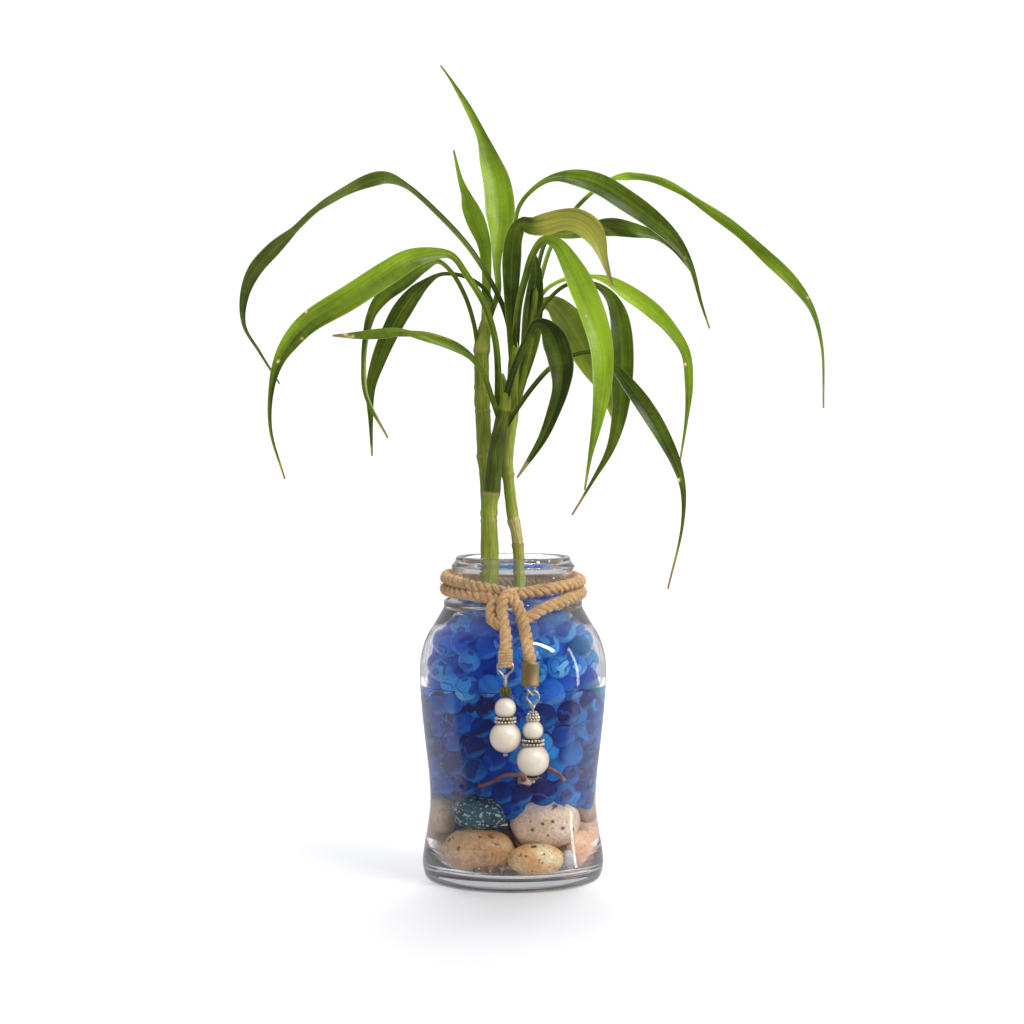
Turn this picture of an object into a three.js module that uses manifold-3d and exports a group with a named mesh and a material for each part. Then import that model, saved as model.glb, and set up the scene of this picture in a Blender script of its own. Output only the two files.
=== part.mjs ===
import * as THREE from 'three';
import { mergeVertices } from 'three/addons/utils/BufferGeometryUtils.js';
import Module from 'manifold-3d';

// A lucky bamboo: three leafy canes in a glass jar of pebbles, water and swollen water beads, with a jute
// cord knotted round the jar's neck and a pearl charm on each end of the cord.
// Millimetres, +Z up, the jar's flat underside on Z = 0, its axis on Z, the knot towards -Y.

const wasm = await Module();
wasm.setup();

// Driving dimensions
const gap = 0.35; // between pieces that touch
const glassGap = 0.6; // between the facets of the glass and of what fills it
const jarSides = 26;
const floorHeight = 7.5; // thickness of the glass under the pebbles
const beadFloor = 42; // lowest level of the water beads
const beadTop = 141; // level top of the heap of beads, in the neck
const beadDiameter = 18;
const holeReach = 0.9; // room round a cane or root among the beads
const canePointsInJar = 5;
const ropeDiameter = 5.6;
const wireDiameter = 1.0;
const pinDiameter = 1.0;
const boreDiameter = 1.8;
const bladeThickness = 0.7;
const eye = new THREE.Vector3(-0.5, -1500, 250); // where the plant is looked at from, as drawn below

// Jar outline, [radius, height], from the middle of the underside up the outside and down the inside
const jarOutside = [
  [0, 0], [39.5, 0], [43.4, 2], [45.3, 9], [44.6, 17], [42.8, 28], [41.5, 39], [42, 52], [44, 70],
  [46.2, 92], [46.7, 104], [46, 113.5], [43.3, 122.5], [38.6, 130.5], [34.6, 137.2], [34.4, 140.8],
  [30.2, 143.2], [29.5, 145], [29.5, 156], [30.8, 157.6], [30.4, 159.2], [29.2, 160.4], [28.6, 163],
];
const jarInside = [
  [26, 163], [25.8, 143], [30.8, 135.6], [38.2, 126.2], [42.2, 115.6], [43.3, 104], [42.6, 91],
  [40.6, 70], [38.6, 52], [38.1, 40], [39.4, 27], [40.4, 17], [38.6, 10.4], [32, floorHeight],
  [0, floorHeight],
];

const finish = {
  glass: { color: 0xc9d6d4, roughness: 0.05, metalness: 0 },
  water: { color: 0xb4cfe0, roughness: 0.05, metalness: 0 },
  beads: { color: 0x1f57c4, roughness: 0.08, metalness: 0 },
  pebble: { color: 0xbfae98, roughness: 0.7, metalness: 0 },
  grit: { color: 0x8d8375, roughness: 0.8, metalness: 0 },
  leaf: { color: 0x4c8a2f, roughness: 0.35, metalness: 0 },
  jute: { color: 0xc8975a, roughness: 0.95, metalness: 0 },
  wire: { color: 0xa8a39c, roughness: 0.3, metalness: 1 },
  brass: { color: 0x85693a, roughness: 0.4, metalness: 1 },
  oldSilver: { color: 0x8f877c, roughness: 0.35, metalness: 1 },
  crystal: { color: 0x6d6a22, roughness: 0.15, metalness: 0 },
  pearl: { color: 0xf0e4d0, roughness: 0.25, metalness: 0 },
};

const object = new THREE.Group();

function addPiece(name, geometry, look) {
  const piece = new THREE.Mesh(geometry, new THREE.MeshStandardMaterial(look));
  piece.name = name;
  object.add(piece);
}

function point([across, up, depth]) {
  return new THREE.Vector3(across, depth, up);
}

// Solids that are joined or cut

function solidOf(geometry) {
  const bare = geometry.clone();
  bare.deleteAttribute('normal');
  bare.deleteAttribute('uv');
  const merged = mergeVertices(bare, 1e-4);
  const index = merged.index.array;
  const kept = [];
  for (let i = 0; i < index.length; i += 3) {
    const [a, b, c] = [index[i], index[i + 1], index[i + 2]];
    if (a !== b && b !== c && c !== a) kept.push(a, b, c);
  }
  const mesh = new wasm.Mesh({
    numProp: 3,
    vertProperties: new Float32Array(merged.attributes.position.array),
    triVerts: new Uint32Array(kept),
  });
  return new wasm.Manifold(mesh);
}

function geometryOf(solid) {
  const mesh = solid.getMesh();
  const geometry = new THREE.BufferGeometry();
  geometry.setAttribute('position', new THREE.BufferAttribute(new Float32Array(mesh.vertProperties), 3));
  geometry.setIndex(new THREE.BufferAttribute(new Uint32Array(mesh.triVerts), 1));
  geometry.computeVertexNormals();
  return geometry;
}

function joined(solids) {
  return solids.reduce((sum, solid) => sum.add(solid));
}

// The largest body of a join: loose scraps are dropped and sealed hollows are filled
function outerBody(solid) {
  const bodies = solid.decompose();
  bodies.sort((a, b) => b.volume() - a.volume());
  return bodies[0];
}

// Rings of points joined into one closed skin. Every quad is split along the same corner of both faces, so
// a thin waved blade never crosses itself.
function skin(rings, splitPairs) {
  const sides = rings[0].length;
  const positions = rings.flat().flatMap((p) => [p.x, p.y, p.z]);
  const index = [];
  for (let i = 0; i < rings.length - 1; i++) {
    for (let j = 0; j < sides; j++) {
      const k = (j + 1) % sides;
      const [a, b] = [i * sides + j, i * sides + k];
      const [c, d] = [a + sides, b + sides];
      const otherFace = splitPairs && j >= sides / 2;
      index.push(...(otherFace ? [a, b, c, b, d, c] : [a, b, d, a, d, c]));
    }
  }
  const last = (rings.length - 1) * sides;
  for (let j = 0; j < sides / 2 - 1; j++) {
    const [k, m, n] = [j + 1, sides - 2 - j, sides - 1 - j];
    index.push(j, m, k, j, n, m);
    index.push(last + j, last + k, last + m, last + j, last + m, last + n);
  }
  const geometry = new THREE.BufferGeometry();
  geometry.setAttribute('position', new THREE.Float32BufferAttribute(positions, 3));
  geometry.setIndex(index);
  return geometry;
}

// A round stalk along a smooth line through its points, [across, up, depth, diameter]
function stalk(points, steps, sides) {
  const line = new THREE.CatmullRomCurve3(points.map(point), false, 'centripetal');
  const whole = line.getPoint(1).sub(line.getPoint(0)).normalize();
  const side = Math.abs(whole.z) > 0.6 ? new THREE.Vector3(1, 0, 0) : new THREE.Vector3(0, 0, 1);
  const rings = [];
  for (let i = 0; i <= steps; i++) {
    const t = i / steps;
    const centre = line.getPoint(t);
    const along = line.getTangent(t);
    const right = new THREE.Vector3().crossVectors(along, side).normalize();
    const up = new THREE.Vector3().crossVectors(along, right).normalize();
    const diameter = between(points.map((p) => p[3]), t);
    rings.push(ringOf(centre, right, up, diameter / 2, sides));
  }
  return skin(rings, false);
}

function ringOf(centre, right, up, radius, sides) {
  const ring = [];
  for (let j = 0; j < sides; j++) {
    const angle = (2 * Math.PI * j) / sides;
    const spoke = right.clone().multiplyScalar(Math.cos(angle)).addScaledVector(up, Math.sin(angle));
    ring.push(centre.clone().addScaledVector(spoke, radius));
  }
  return ring;
}

function between(values, t) {
  const place = t * (values.length - 1);
  const low = Math.min(Math.floor(place), values.length - 2);
  return THREE.MathUtils.lerp(values[low], values[low + 1], place - low);
}

function tube(points, diameter, steps, sides) {
  const line = new THREE.CatmullRomCurve3(points.map(point), false, 'centripetal');
  const section = new THREE.Shape();
  for (let j = 0; j < sides; j++) {
    const angle = (2 * Math.PI * j) / sides;
    const [x, y] = [(diameter / 2) * Math.cos(angle), (diameter / 2) * Math.sin(angle)];
    if (j === 0) section.moveTo(x, y);
    else section.lineTo(x, y);
  }
  section.closePath();
  return new THREE.ExtrudeGeometry(section, { steps, extrudePath: line, curveSegments: 1 });
}

// A body turned on the upright axis, from its outline of [radius, height]
function turned(outline, sides) {
  const points = outline.map(([radius, height]) => new THREE.Vector2(radius, height));
  return new THREE.LatheGeometry(points, sides).rotateX(Math.PI / 2);
}

// Jar and water

function radiusInside(height) {
  for (let i = 1; i < jarInside.length; i++) {
    const [upper, lower] = [jarInside[i - 1], jarInside[i]];
    if (height <= upper[1] && height >= lower[1]) {
      const share = (upper[1] - height) / Math.max(upper[1] - lower[1], 1e-6);
      return THREE.MathUtils.lerp(upper[0], lower[0], share);
    }
  }
  return 0;
}

// How far from the axis a ball's centre may lie at a height without touching the glass
function roomInside(height, radius) {
  let room = Infinity;
  for (let dz = -0.95; dz <= 0.96; dz += 0.19) {
    const reach = radius * Math.sqrt(1 - dz * dz);
    room = Math.min(room, radiusInside(height + dz * radius) - reach);
  }
  return room - glassGap;
}

addPiece('jar', turned([...jarOutside, ...jarInside], jarSides), finish.glass);

// Pebbles, [across, up, depth, half width, half height, half depth, turn in degrees]
const pebbles = [
  [-15.5, 18.7, -21, 16.5, 11.4, 11.5, 4],
  [14.5, 31.4, -15.5, 14.5, 11.6, 10.5, -6],
  [10.5, 15.5, -26, 12, 7.8, 7.6, 3],
  [27.8, 17.2, -9, 7.6, 9.6, 8.8, 0],
  [24.6, 13.3, -20.4, 3.8, 4.8, 3.5, 0],
  [-15, 37.6, -17, 12.5, 7.6, 11, 0],
  [-29, 32.8, 0.5, 6, 9.8, 10, 0],
  [28, 37.2, 6.5, 7, 10.2, 9, 0],
  [-1.5, 14.3, -11, 4.4, 6.2, 5, 0],
  [-24, 15.9, 14, 10.5, 8, 12, 20],
  [-2, 16.9, 14, 11.5, 9, 12, -12],
  [20, 17.1, 19, 10.5, 9.6, 11.5, 30],
  [-8, 33.4, 27, 13, 9.4, 8, 8],
  [12, 34.4, 13, 10, 8.6, 9, -10],
];
const grit = [
  [-16.4, 9.6, -28.3, 1.9, 1.5, 1.4],
  [-11, 9.5, -29.6, 1.8, 1.6, 1.5],
  [-5.4, 9.7, -28.4, 2, 1.8, 1.6],
];

// A worn stone: a ball with shallow hollows of its own, as much larger all round as extra says
function stone([across, up, depth, halfWidth, halfHeight, halfDepth, turn = 0], kind, number, extra) {
  const { hollow, firstSeed, columns, rows } = kind;
  const seed = firstSeed + number;
  const ball = new THREE.SphereGeometry(1, columns, rows);
  const place = ball.attributes.position;
  const spot = new THREE.Vector3();
  for (let i = 0; i < place.count; i++) {
    spot.fromBufferAttribute(place, i);
    const ripple = Math.sin(2.1 * spot.x + seed) * Math.cos(1.7 * spot.y - 2 * seed);
    const size = 1 - hollow + hollow * (ripple + Math.sin(2.4 * spot.z + 3 * seed));
    place.setXYZ(
      i,
      spot.x * (halfWidth * size + extra),
      spot.y * (halfHeight * size + extra),
      spot.z * (halfDepth * size + extra),
    );
  }
  ball.rotateX(Math.PI / 2);
  ball.rotateY(THREE.MathUtils.degToRad(turn));
  return ball.translate(across, depth, up);
}

const stoneKinds = [
  { name: 'pebble', places: pebbles, hollow: 0.035, firstSeed: 1, columns: 9, rows: 5, look: finish.pebble },
  { name: 'grit', places: grit, hollow: 0.035, firstSeed: 20, columns: 5, rows: 4, look: finish.grit },
];

function addStones() {
  stoneKinds.forEach((kind) => {
    kind.places.forEach((place, i) => {
      addPiece(`${kind.name}_${i + 1}`, stone(place, kind, i, 0), kind.look);
    });
  });
}

// The room that the stones take, with the gap round them
function stonesWithGap() {
  const rooms = (kind) => kind.places.map((place, i) => solidOf(stone(place, kind, i, gap)));
  return joined(stoneKinds.flatMap(rooms));
}

// Fills the jar between two levels, clear of the glass
function filling(bottom, top, sides) {
  const outline = [[0, top], [radiusInside(top) - glassGap, top]];
  jarInside.forEach(([radius, height]) => {
    if (height < top - 0.5 && height > bottom + 0.5) outline.push([radius - glassGap, height]);
  });
  outline.push([radiusInside(bottom) - glassGap, bottom], [0, bottom]);
  return turned(outline.reverse(), sides);
}

function waterBody(stones) {
  const level = beadFloor - gap;
  return outerBody(solidOf(filling(floorHeight + gap, level, 20)).subtract(stones));
}

// Canes: [across, up, depth, diameter] from the cut foot upwards, a swollen ring at each joint
const canes = {
  left: [
    [-9, 56, 12, 7.6], [-11, 100, 11, 7.6], [-12, 140, 9, 7.6], [-12, 163, 8, 7.7], [-12.3, 186, 7, 7.6],
    [-13.2, 205, 6.5, 7.6], [-14, 212, 6.5, 8.2], [-14.4, 219, 6.5, 7.6], [-15.2, 236, 6.5, 7.6],
    [-15.4, 240, 6.5, 8], [-15.5, 247, 6.5, 7.6], [-15.7, 262, 6.5, 7.4], [-15.6, 266, 6.5, 8],
    [-14.8, 272, 7, 6.6], [-13.6, 284, 9, 6],
  ],
  front: [
    [-10, 54, 0, 8.6], [-11.5, 100, -4, 9], [-12, 140, -7, 9.2], [-11.6, 163, -8, 9.2], [-12, 181, -8, 8],
    [-12, 185, -8, 8.6], [-11.2, 190, -8, 7.2], [-10.6, 194.5, -8, 8], [-9.6, 205, -8, 7.4],
    [-8, 218, -8, 7], [-5.6, 230, -8.5, 6.6], [-4, 240, -9.5, 5.6], [-5.5, 254, -10.5, 4.4],
  ],
  right: [
    [5.5, 52, -26, 7], [4.5, 100, -15, 6.6], [3.4, 140, -5, 6.2], [2.9, 163, -1, 5.8], [1.4, 176, 0.5, 5.6],
    [0.4, 180, 1, 6.2], [-0.6, 186, 1.2, 5.8], [-2.2, 200, 1.6, 5.6], [-2.6, 204, 1.6, 6.2],
    [-2.8, 210, 1.6, 5.6], [-1.8, 222, 1.2, 5.8], [-0.2, 234, 0.8, 6], [0, 248, 0, 5.6],
    [0.6, 262, -1, 5], [1, 276, -2, 4.4],
  ],
};
const sideShoot = [
  [0, 234, 0.8, 5], [3.4, 247, 0.8, 5], [6.6, 259, 1.2, 4.8], [8.6, 272, 2, 4.6], [10.2, 286, 2.6, 4],
  [11.2, 297, 3, 3],
];

// Roots, [across, up, depth, diameter], each from the foot of its cane out towards the glass
const roots = {
  left: [
    [[-9, 58, 12, 2.4], [-18, 55, 21, 2], [-27, 55, 22, 1.7]],
    [[-10.6, 92, 11, 2.4], [-22, 95, -2, 2], [-32, 98, -15, 1.8], [-34, 99, -20, 1.6]],
  ],
  front: [
    [[-10, 56, 0, 2.4], [-20, 55, -8, 2.2], [-29, 58, -15, 2], [-33, 61, -16, 1.8]],
    [[-10, 56, 0, 2.4], [0, 58, 9, 2], [7, 56, 23, 1.8], [12, 60, 33, 1.6]],
  ],
  right: [
    [
      [5.5, 54, -26, 2.6], [3, 58, -33.5, 2.2], [-3, 58, -35, 2.2], [-9, 54.5, -34.6, 2],
      [-16, 52, -31.5, 2],
    ],
    [[5.5, 55, -26, 2.6], [13, 62, -31, 2.2], [19, 60, -30.5, 2], [24, 54, -27, 1.8]],
    [[5.5, 54, -26, 2.4], [18, 56, -16, 2.2], [28, 58, -17, 2], [32, 57, -17, 2]],
  ],
};

// Leaves, one row for each place along the leaf from its foot to its tip:
// [across, up, depth, width, turn]. Across and up are as the leaf is seen from the eye, drawn on the
// upright plane through the jar's axis; depth is how far behind that plane it lies. Turn is how far the
// blade is rolled away from facing the eye, in degrees.
const leaves = {
  left: {
    tallest: [
      [-13, 276, 8, 3], [-11, 284, 9, 3], [-7.4, 295, 10, 3], [-8, 308, 13, 4], [-7.5, 321, 16, 7.5],
      [-6.5, 329, 18, 12.5], [-6.5, 337, 20, 15], [-8, 349, 23, 13.8], [-11.5, 360, 26, 10.5],
      [-15.5, 372, 30, 5.4], [-23, 387, 33, 3.6], [-31, 400, 34, 1.5], [-36, 407, 34, 0.9],
    ],
    upright: [
      [-14, 274, 8, 4], [-13.4, 292, 13, 4.5], [-13.2, 306, 20, 5], [-14.5, 319, 26, 7],
      [-18.5, 330, 33, 9.5], [-21.4, 337, 37, 8.4], [-23.4, 343, 40, 5], [-26, 350, 42, 2.8],
      [-29.5, 365, 46, 0.9],
    ],
    slenderArch: [
      [-17, 264, 6, 2.8], [-19.5, 279, 4, 2.2], [-24, 293, 1, 2.2], [-31, 305, -3, 2.2],
      [-37.5, 310, -6, 2.6],
      [-44.5, 307, -9, 5, 0], [-55, 299.5, -12, 7.4, 0], [-65, 292, -14, 7, 5], [-70.4, 284, -15, 6.4, 45],
      [-73.4, 272, -15, 5, 62], [-74.5, 258, -14, 3.4, 60], [-73.2, 243, -13, 2, 40],
      [-62.5, 222, -10, 0.9, 0],
    ],
    backHanging: [
      [-13, 276, 8, 2.6], [-10.4, 288, 9, 2], [-14, 296, 12, 2], [-24, 302.4, 17, 2], [-36, 303.5, 23, 2],
      [-43, 299.5, 27, 4.4], [-49, 294, 30, 8], [-56, 284.5, 34, 10], [-62, 273, 37, 9],
      [-67, 261, 40, 7.6],
      [-71, 247, 42, 5], [-71, 230, 43, 2.4], [-70.4, 213, 41, 0.9],
    ],
  },
  front: {
    broadArch: [
      [-7.4, 238, -9.5, 4], [-7.5, 256, -11, 3.4], [-9, 271.5, -15, 3.2], [-14, 288, -21, 3.2],
      [-23, 303, -29, 3.2], [-31, 313, -36, 3.6], [-41.5, 313.4, -41, 7], [-52, 310.6, -45, 10.4],
      [-63, 304, -48.5, 12], [-81.5, 292, -54, 12.2], [-102, 279.5, -57, 10.6], [-111, 270, -58, 8.6],
      [-117, 260, -57, 5.4], [-120.6, 246, -55, 2.8], [-121, 226, -52, 1.6], [-114, 201.5, -50, 0.9],
    ],
    levelLeft: [
      [-7, 232, -9, 3], [-11, 243.5, -12, 2.8], [-15, 254.6, -16, 2.8], [-21, 262.4, -18.5, 3.2],
      [-29, 267.6, -21, 5], [-40, 271.6, -24, 5.2, 0], [-51, 274, -25.5, 5, 60], [-58, 274.6, -26, 5, 40],
      [-66, 274, -27, 5.2, 0], [-77, 273.2, -28, 3.8], [-90, 273, -30, 0.9],
    ],
    lowRight: [
      [-3.6, 228, -8.5, 3], [2, 236.5, -10, 2.5], [10, 247.6, -14, 2.5], [19, 257.2, -18, 2.5],
      [31, 263.6, -24, 2.2], [41, 264.4, -28, 2.2], [50, 257.6, -32, 4], [61, 244.4, -36, 7.6],
      [68.6, 233.6, -38, 8.2], [75.6, 221.6, -40, 7.2], [81.6, 209, -41.5, 5], [85, 196, -42, 2.8],
      [84.6, 178, -42, 1.5], [77.5, 146.5, -41, 0.9],
    ],
    nearHanging: [
      [-5.2, 234, -9, 4], [-2.6, 246, -13, 3.6], [1.4, 258.6, -19, 3.6], [7, 271, -26, 4],
      [11.6, 279, -32, 4.6], [17, 277, -37.5, 8], [21.4, 269, -42.5, 12.8], [24.2, 258, -46.5, 12],
      [23.8, 247, -49, 8.4], [20, 234.6, -51, 6.4], [14.6, 221.6, -51, 4.4], [2, 202, -50, 0.9],
    ],
  },
  right: {
    farLeftArch: [
      [0.4, 266, -1, 3], [-4.4, 286, -4, 2.6], [-12, 301.6, -8, 2.6], [-22, 317, -11, 2.8],
      [-37, 333.4, -14, 2.8],
      [-53, 347.4, -16, 3], [-63, 351.5, -18, 6, 0], [-72, 349.8, -20, 7.4, 25], [-85, 344, -22, 7.5, 56],
      [-97.5, 336, -24, 7.5, 72], [-109, 325.5, -25, 7.5, 60], [-120, 315.4, -26, 7.4, 20],
      [-129, 305, -27, 7, 0], [-134, 292, -28, 4.4], [-134, 278, -28, 2], [-126.5, 265, -28, 1.4],
      [-116.5, 249, -28, 0.9],
    ],
    foldedMiddle: [
      [0, 262, -2, 4.4], [-1, 284, -8, 5.6], [-0.9, 298.5, -13, 8], [-0.6, 311, -17, 9.4],
      [0.6, 322, -20, 8.4],
      [4, 328.4, -22, 7], [10, 327.4, -24, 9], [17, 328.6, -26, 11], [24, 330.6, -28, 10.4],
      [31, 330.4, -31, 11.6], [37.4, 327, -33, 12], [42, 320.6, -35, 9], [45, 312, -36.5, 4.4],
      [49.5, 298, -38, 0.9],
    ],
    brightFront: [
      [1, 268, -2, 4.2], [3, 289, -11, 3.5], [6.4, 302.6, -20, 3.5], [9.6, 313, -28.5, 3.5],
      [15, 320.4, -36.5, 4], [21.6, 319, -43, 6], [28, 310, -50, 9.4], [34.4, 297, -56.5, 12.4],
      [40.6, 281.4, -63, 12.2], [44.4, 266, -67, 11], [44.6, 249, -70, 9.2], [42.4, 232, -72, 5.8],
      [38.6, 213, -72, 2.2], [35.8, 196, -71, 0.9],
    ],
    upperRight: [
      [0.6, 268, -0.5, 3], [0, 296, 2, 2.4], [0.4, 320, 3, 2.2], [3, 337, 4, 2.2], [11, 346.6, 6, 2.4],
      [20, 351.4, 9, 3.8], [31, 351.6, 13, 8.2], [43, 348.2, 17, 10.6], [56, 340.4, 21, 11],
      [70, 330.4, 25, 9.6],
      [80.6, 320.4, 27, 6.8], [88, 309, 28, 3.2], [94, 288.5, 28, 1.5], [98, 276.5, 28, 0.9],
    ],
    behindLevel: [
      [11, 292, 3, 2.6], [13.6, 312, 8, 2.2], [18, 321.8, 12, 2.4], [28.5, 323.6, 19, 5],
      [38.5, 325.6, 25, 7.6],
      [49, 327, 31, 9.4], [60, 325.4, 36, 7.6], [71, 322.6, 40, 4], [80, 316, 42, 2.2], [91, 302, 44, 0.9],
    ],
    farRightArch: [
      [10.6, 288, 3, 2.6], [18, 315, 12, 2.2], [26, 329.6, 21, 2.2], [38, 343, 31, 2.2], [50, 351, 38.5, 2.4],
      [60, 352.2, 44, 5.6, 50], [72, 350.2, 50, 6, 50], [84, 344.6, 54, 6, 56], [96, 336.5, 58, 6.4, 48],
      [111, 326, 61, 7, 40], [126, 312.5, 63, 7, 22], [140, 299, 63, 6, 0], [149, 286, 61, 3.2],
      [154, 268, 59, 1.6], [155, 237, 56, 0.9],
    ],
    midRight: [
      [10, 282, 2.6, 2.6], [15.6, 295, 8, 2], [27, 301.4, 16, 2], [40, 302.4, 24, 2.2], [48, 300.2, 27, 5],
      [57, 294.6, 30, 8], [68.6, 286.4, 33, 8.4], [78.6, 276.4, 34.5, 6.6], [86, 264.6, 36, 5],
      [87.8, 248, 35, 4.2], [86.4, 230, 34, 1.8], [83, 208, 32, 0.9],
    ],
    shadedHanging: [
      [9, 272, 1, 2.6], [15.6, 288, -2, 2], [27, 298.4, -7, 2], [40, 298.8, -11.5, 2.4],
      [48, 293, -14.6, 5.4],
      [52.6, 283.4, -17, 9], [54.5, 268, -19, 11], [54.4, 251, -19, 10.6], [53, 233, -19, 7.6],
      [48.6, 216.6, -17, 4.2], [40, 201, -14, 1.8], [29.5, 183.5, -12, 0.9],
    ],
    broadOlive: [
      [8.6, 276, 2, 3], [13, 288, 7, 4], [19.5, 288.6, 13, 9], [27, 281, 21, 15], [34, 270, 28, 17],
      [40, 258.6, 33, 14], [45.6, 247, 37, 7.6], [50, 231, 38, 0.9],
    ],
    darkUpright: [
      [0, 238, 0, 4], [3.2, 247, -1, 4.4], [6.6, 259, -1, 6.4], [8.8, 272, 0, 9.6], [9.8, 284, 1, 10],
      [11, 296, 2.6, 8.4], [11.4, 306, 3.6, 5.4], [10, 316, 4, 0.9],
    ],
  },
};

// A place drawn as the eye sees it, carried along its line of sight to its depth
function carried([across, up, depth]) {
  const drawn = new THREE.Vector3(across, 0, up);
  return eye.clone().addScaledVector(drawn.sub(eye), 1 + depth / -eye.y);
}

// The stalk of a leaf is a thick gutter, its blade a thin shallow V
const blade = { stalkWidth: 2.2, broadWidth: 6, stalkMiddle: 2, stalkEdge: 1.3, ribExtra: 0.3, sink: 0.13 };

function bladeRing(centre, along, width, turn) {
  const sight = eye.clone().sub(centre).normalize();
  const side = new THREE.Vector3().crossVectors(along, sight).normalize();
  const face = new THREE.Vector3().crossVectors(side, along).normalize();
  side.applyAxisAngle(along, turn);
  face.applyAxisAngle(along, turn);
  const { stalkWidth, broadWidth, stalkMiddle, stalkEdge, ribExtra } = blade;
  const broad = THREE.MathUtils.smoothstep(width, stalkWidth, broadWidth);
  const middle = THREE.MathUtils.lerp(Math.min(width, stalkMiddle), bladeThickness + ribExtra, broad);
  const edge = THREE.MathUtils.lerp(Math.min(width, stalkEdge), bladeThickness, broad);
  const sink = blade.sink * width;
  const corner = (x, y) => centre.clone().addScaledVector(side, x).addScaledVector(face, y);
  return [
    corner(-width / 2, edge / 2), corner(0, middle / 2 - sink), corner(width / 2, edge / 2),
    corner(width / 2, -edge / 2), corner(0, -middle / 2 - sink), corner(-width / 2, -edge / 2),
  ];
}

function leaf(rows) {
  const line = new THREE.CatmullRomCurve3(rows.map(carried), false, 'centripetal');
  const [widths, turns] = [rows.map((row) => row[3]), rows.map((row) => row[4] ?? 0)];
  const steps = rows.length;
  const rings = [];
  for (let i = 0; i <= steps; i++) {
    const t = i / steps;
    const turn = THREE.MathUtils.degToRad(between(turns, t));
    rings.push(bladeRing(line.getPoint(t), line.getTangent(t), between(widths, t), turn));
  }
  return skin(rings, true);
}

function addLeafyCane(name) {
  const parts = [stalk(canes[name], Math.round(1.5 * canes[name].length), 8)];
  if (name === 'right') parts.push(stalk(sideShoot, 6, 6));
  roots[name].forEach((root) => parts.push(stalk(root, 4, 6)));
  Object.values(leaves[name]).forEach((rows) => parts.push(leaf(rows)));
  addPiece(`leafy_cane_${name}`, geometryOf(outerBody(joined(parts.map(solidOf)))), finish.leaf);
}

// A stalk's points with both ends lengthened and the diameter grown, for the room it takes
function widened(points, reach) {
  const lengthened = (end, inner) => {
    const away = point(end).sub(point(inner)).setLength(reach);
    return [end[0] + away.x, end[1] + away.z, end[2] + away.y, end[3]];
  };
  const [foot, tip] = [lengthened(points[0], points[1]), lengthened(points.at(-1), points.at(-2))];
  const route = [foot, ...points.slice(1, -1), tip];
  return route.map(([across, up, depth, diameter]) => [across, up, depth, diameter + 2 * reach]);
}

// The holes that canes and roots stand in among the beads
function plantHoles() {
  const holes = [];
  Object.keys(canes).forEach((name) => {
    const foot = canes[name].slice(0, canePointsInJar);
    holes.push(solidOf(stalk(widened(foot, holeReach), 8, 8)));
    roots[name].forEach((root) => holes.push(solidOf(stalk(widened(root, holeReach), 4, 5))));
  });
  return joined(holes);
}

// Water beads: balls in staggered rings against the glass round a core, and a loose layer on top
const beadLayers = { levels: [52, 69, 86, 103, 119.5], spacing: 1.03, unevenness: 0.6, sides: 12 };
const topBeads = { count: 5, ringRadius: 16, sunk: 4, unevenness: 1 };
const coreLevels = [beadFloor, 60, 80, 104, 119, 130, beadTop];
const coreDepth = 0.3; // how far the core stays behind the glass, in bead diameters

function beadBalls() {
  const { levels, spacing, unevenness } = beadLayers;
  const balls = [];
  levels.forEach((level, layer) => {
    const room = roomInside(level, beadDiameter / 2);
    const count = Math.floor((2 * Math.PI * room) / (beadDiameter * spacing));
    for (let i = 0; i < count; i++) {
      const angle = (2 * Math.PI * (i + 0.5 * (layer % 2))) / count;
      const up = level + unevenness * Math.sin(5 * i + layer);
      balls.push([room * Math.cos(angle), up, room * Math.sin(angle)]);
    }
  });
  for (let i = 0; i < topBeads.count; i++) {
    const angle = (2 * Math.PI * (i + 0.6)) / topBeads.count;
    const up = beadTop - topBeads.sunk + topBeads.unevenness * Math.sin(3 * i);
    balls.push([topBeads.ringRadius * Math.cos(angle), up, topBeads.ringRadius * Math.sin(angle)]);
  }
  return balls.map(([across, up, depth]) => {
    const ball = new THREE.IcosahedronGeometry(beadDiameter / 2, 0);
    return ball.rotateZ(0.7 * across).translate(across, depth, up);
  });
}

function beadHeap(stones) {
  const side = coreLevels.map((level) => [radiusInside(level) - coreDepth * beadDiameter, level]);
  const core = [[0, beadFloor], ...side, [0, beadTop]];
  const heap = joined([turned(core, beadLayers.sides), ...beadBalls()].map(solidOf));
  return outerBody(heap.subtract(stones).subtract(plantHoles()));
}

// A strand lying round the neck, from rows of [degrees from the front round the left side, up, radius]
function roundNeck(rows) {
  return rows.map(([degrees, up, radius]) => {
    const angle = THREE.MathUtils.degToRad(degrees);
    return [-radius * Math.sin(angle), up, -radius * Math.cos(angle)];
  });
}

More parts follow.
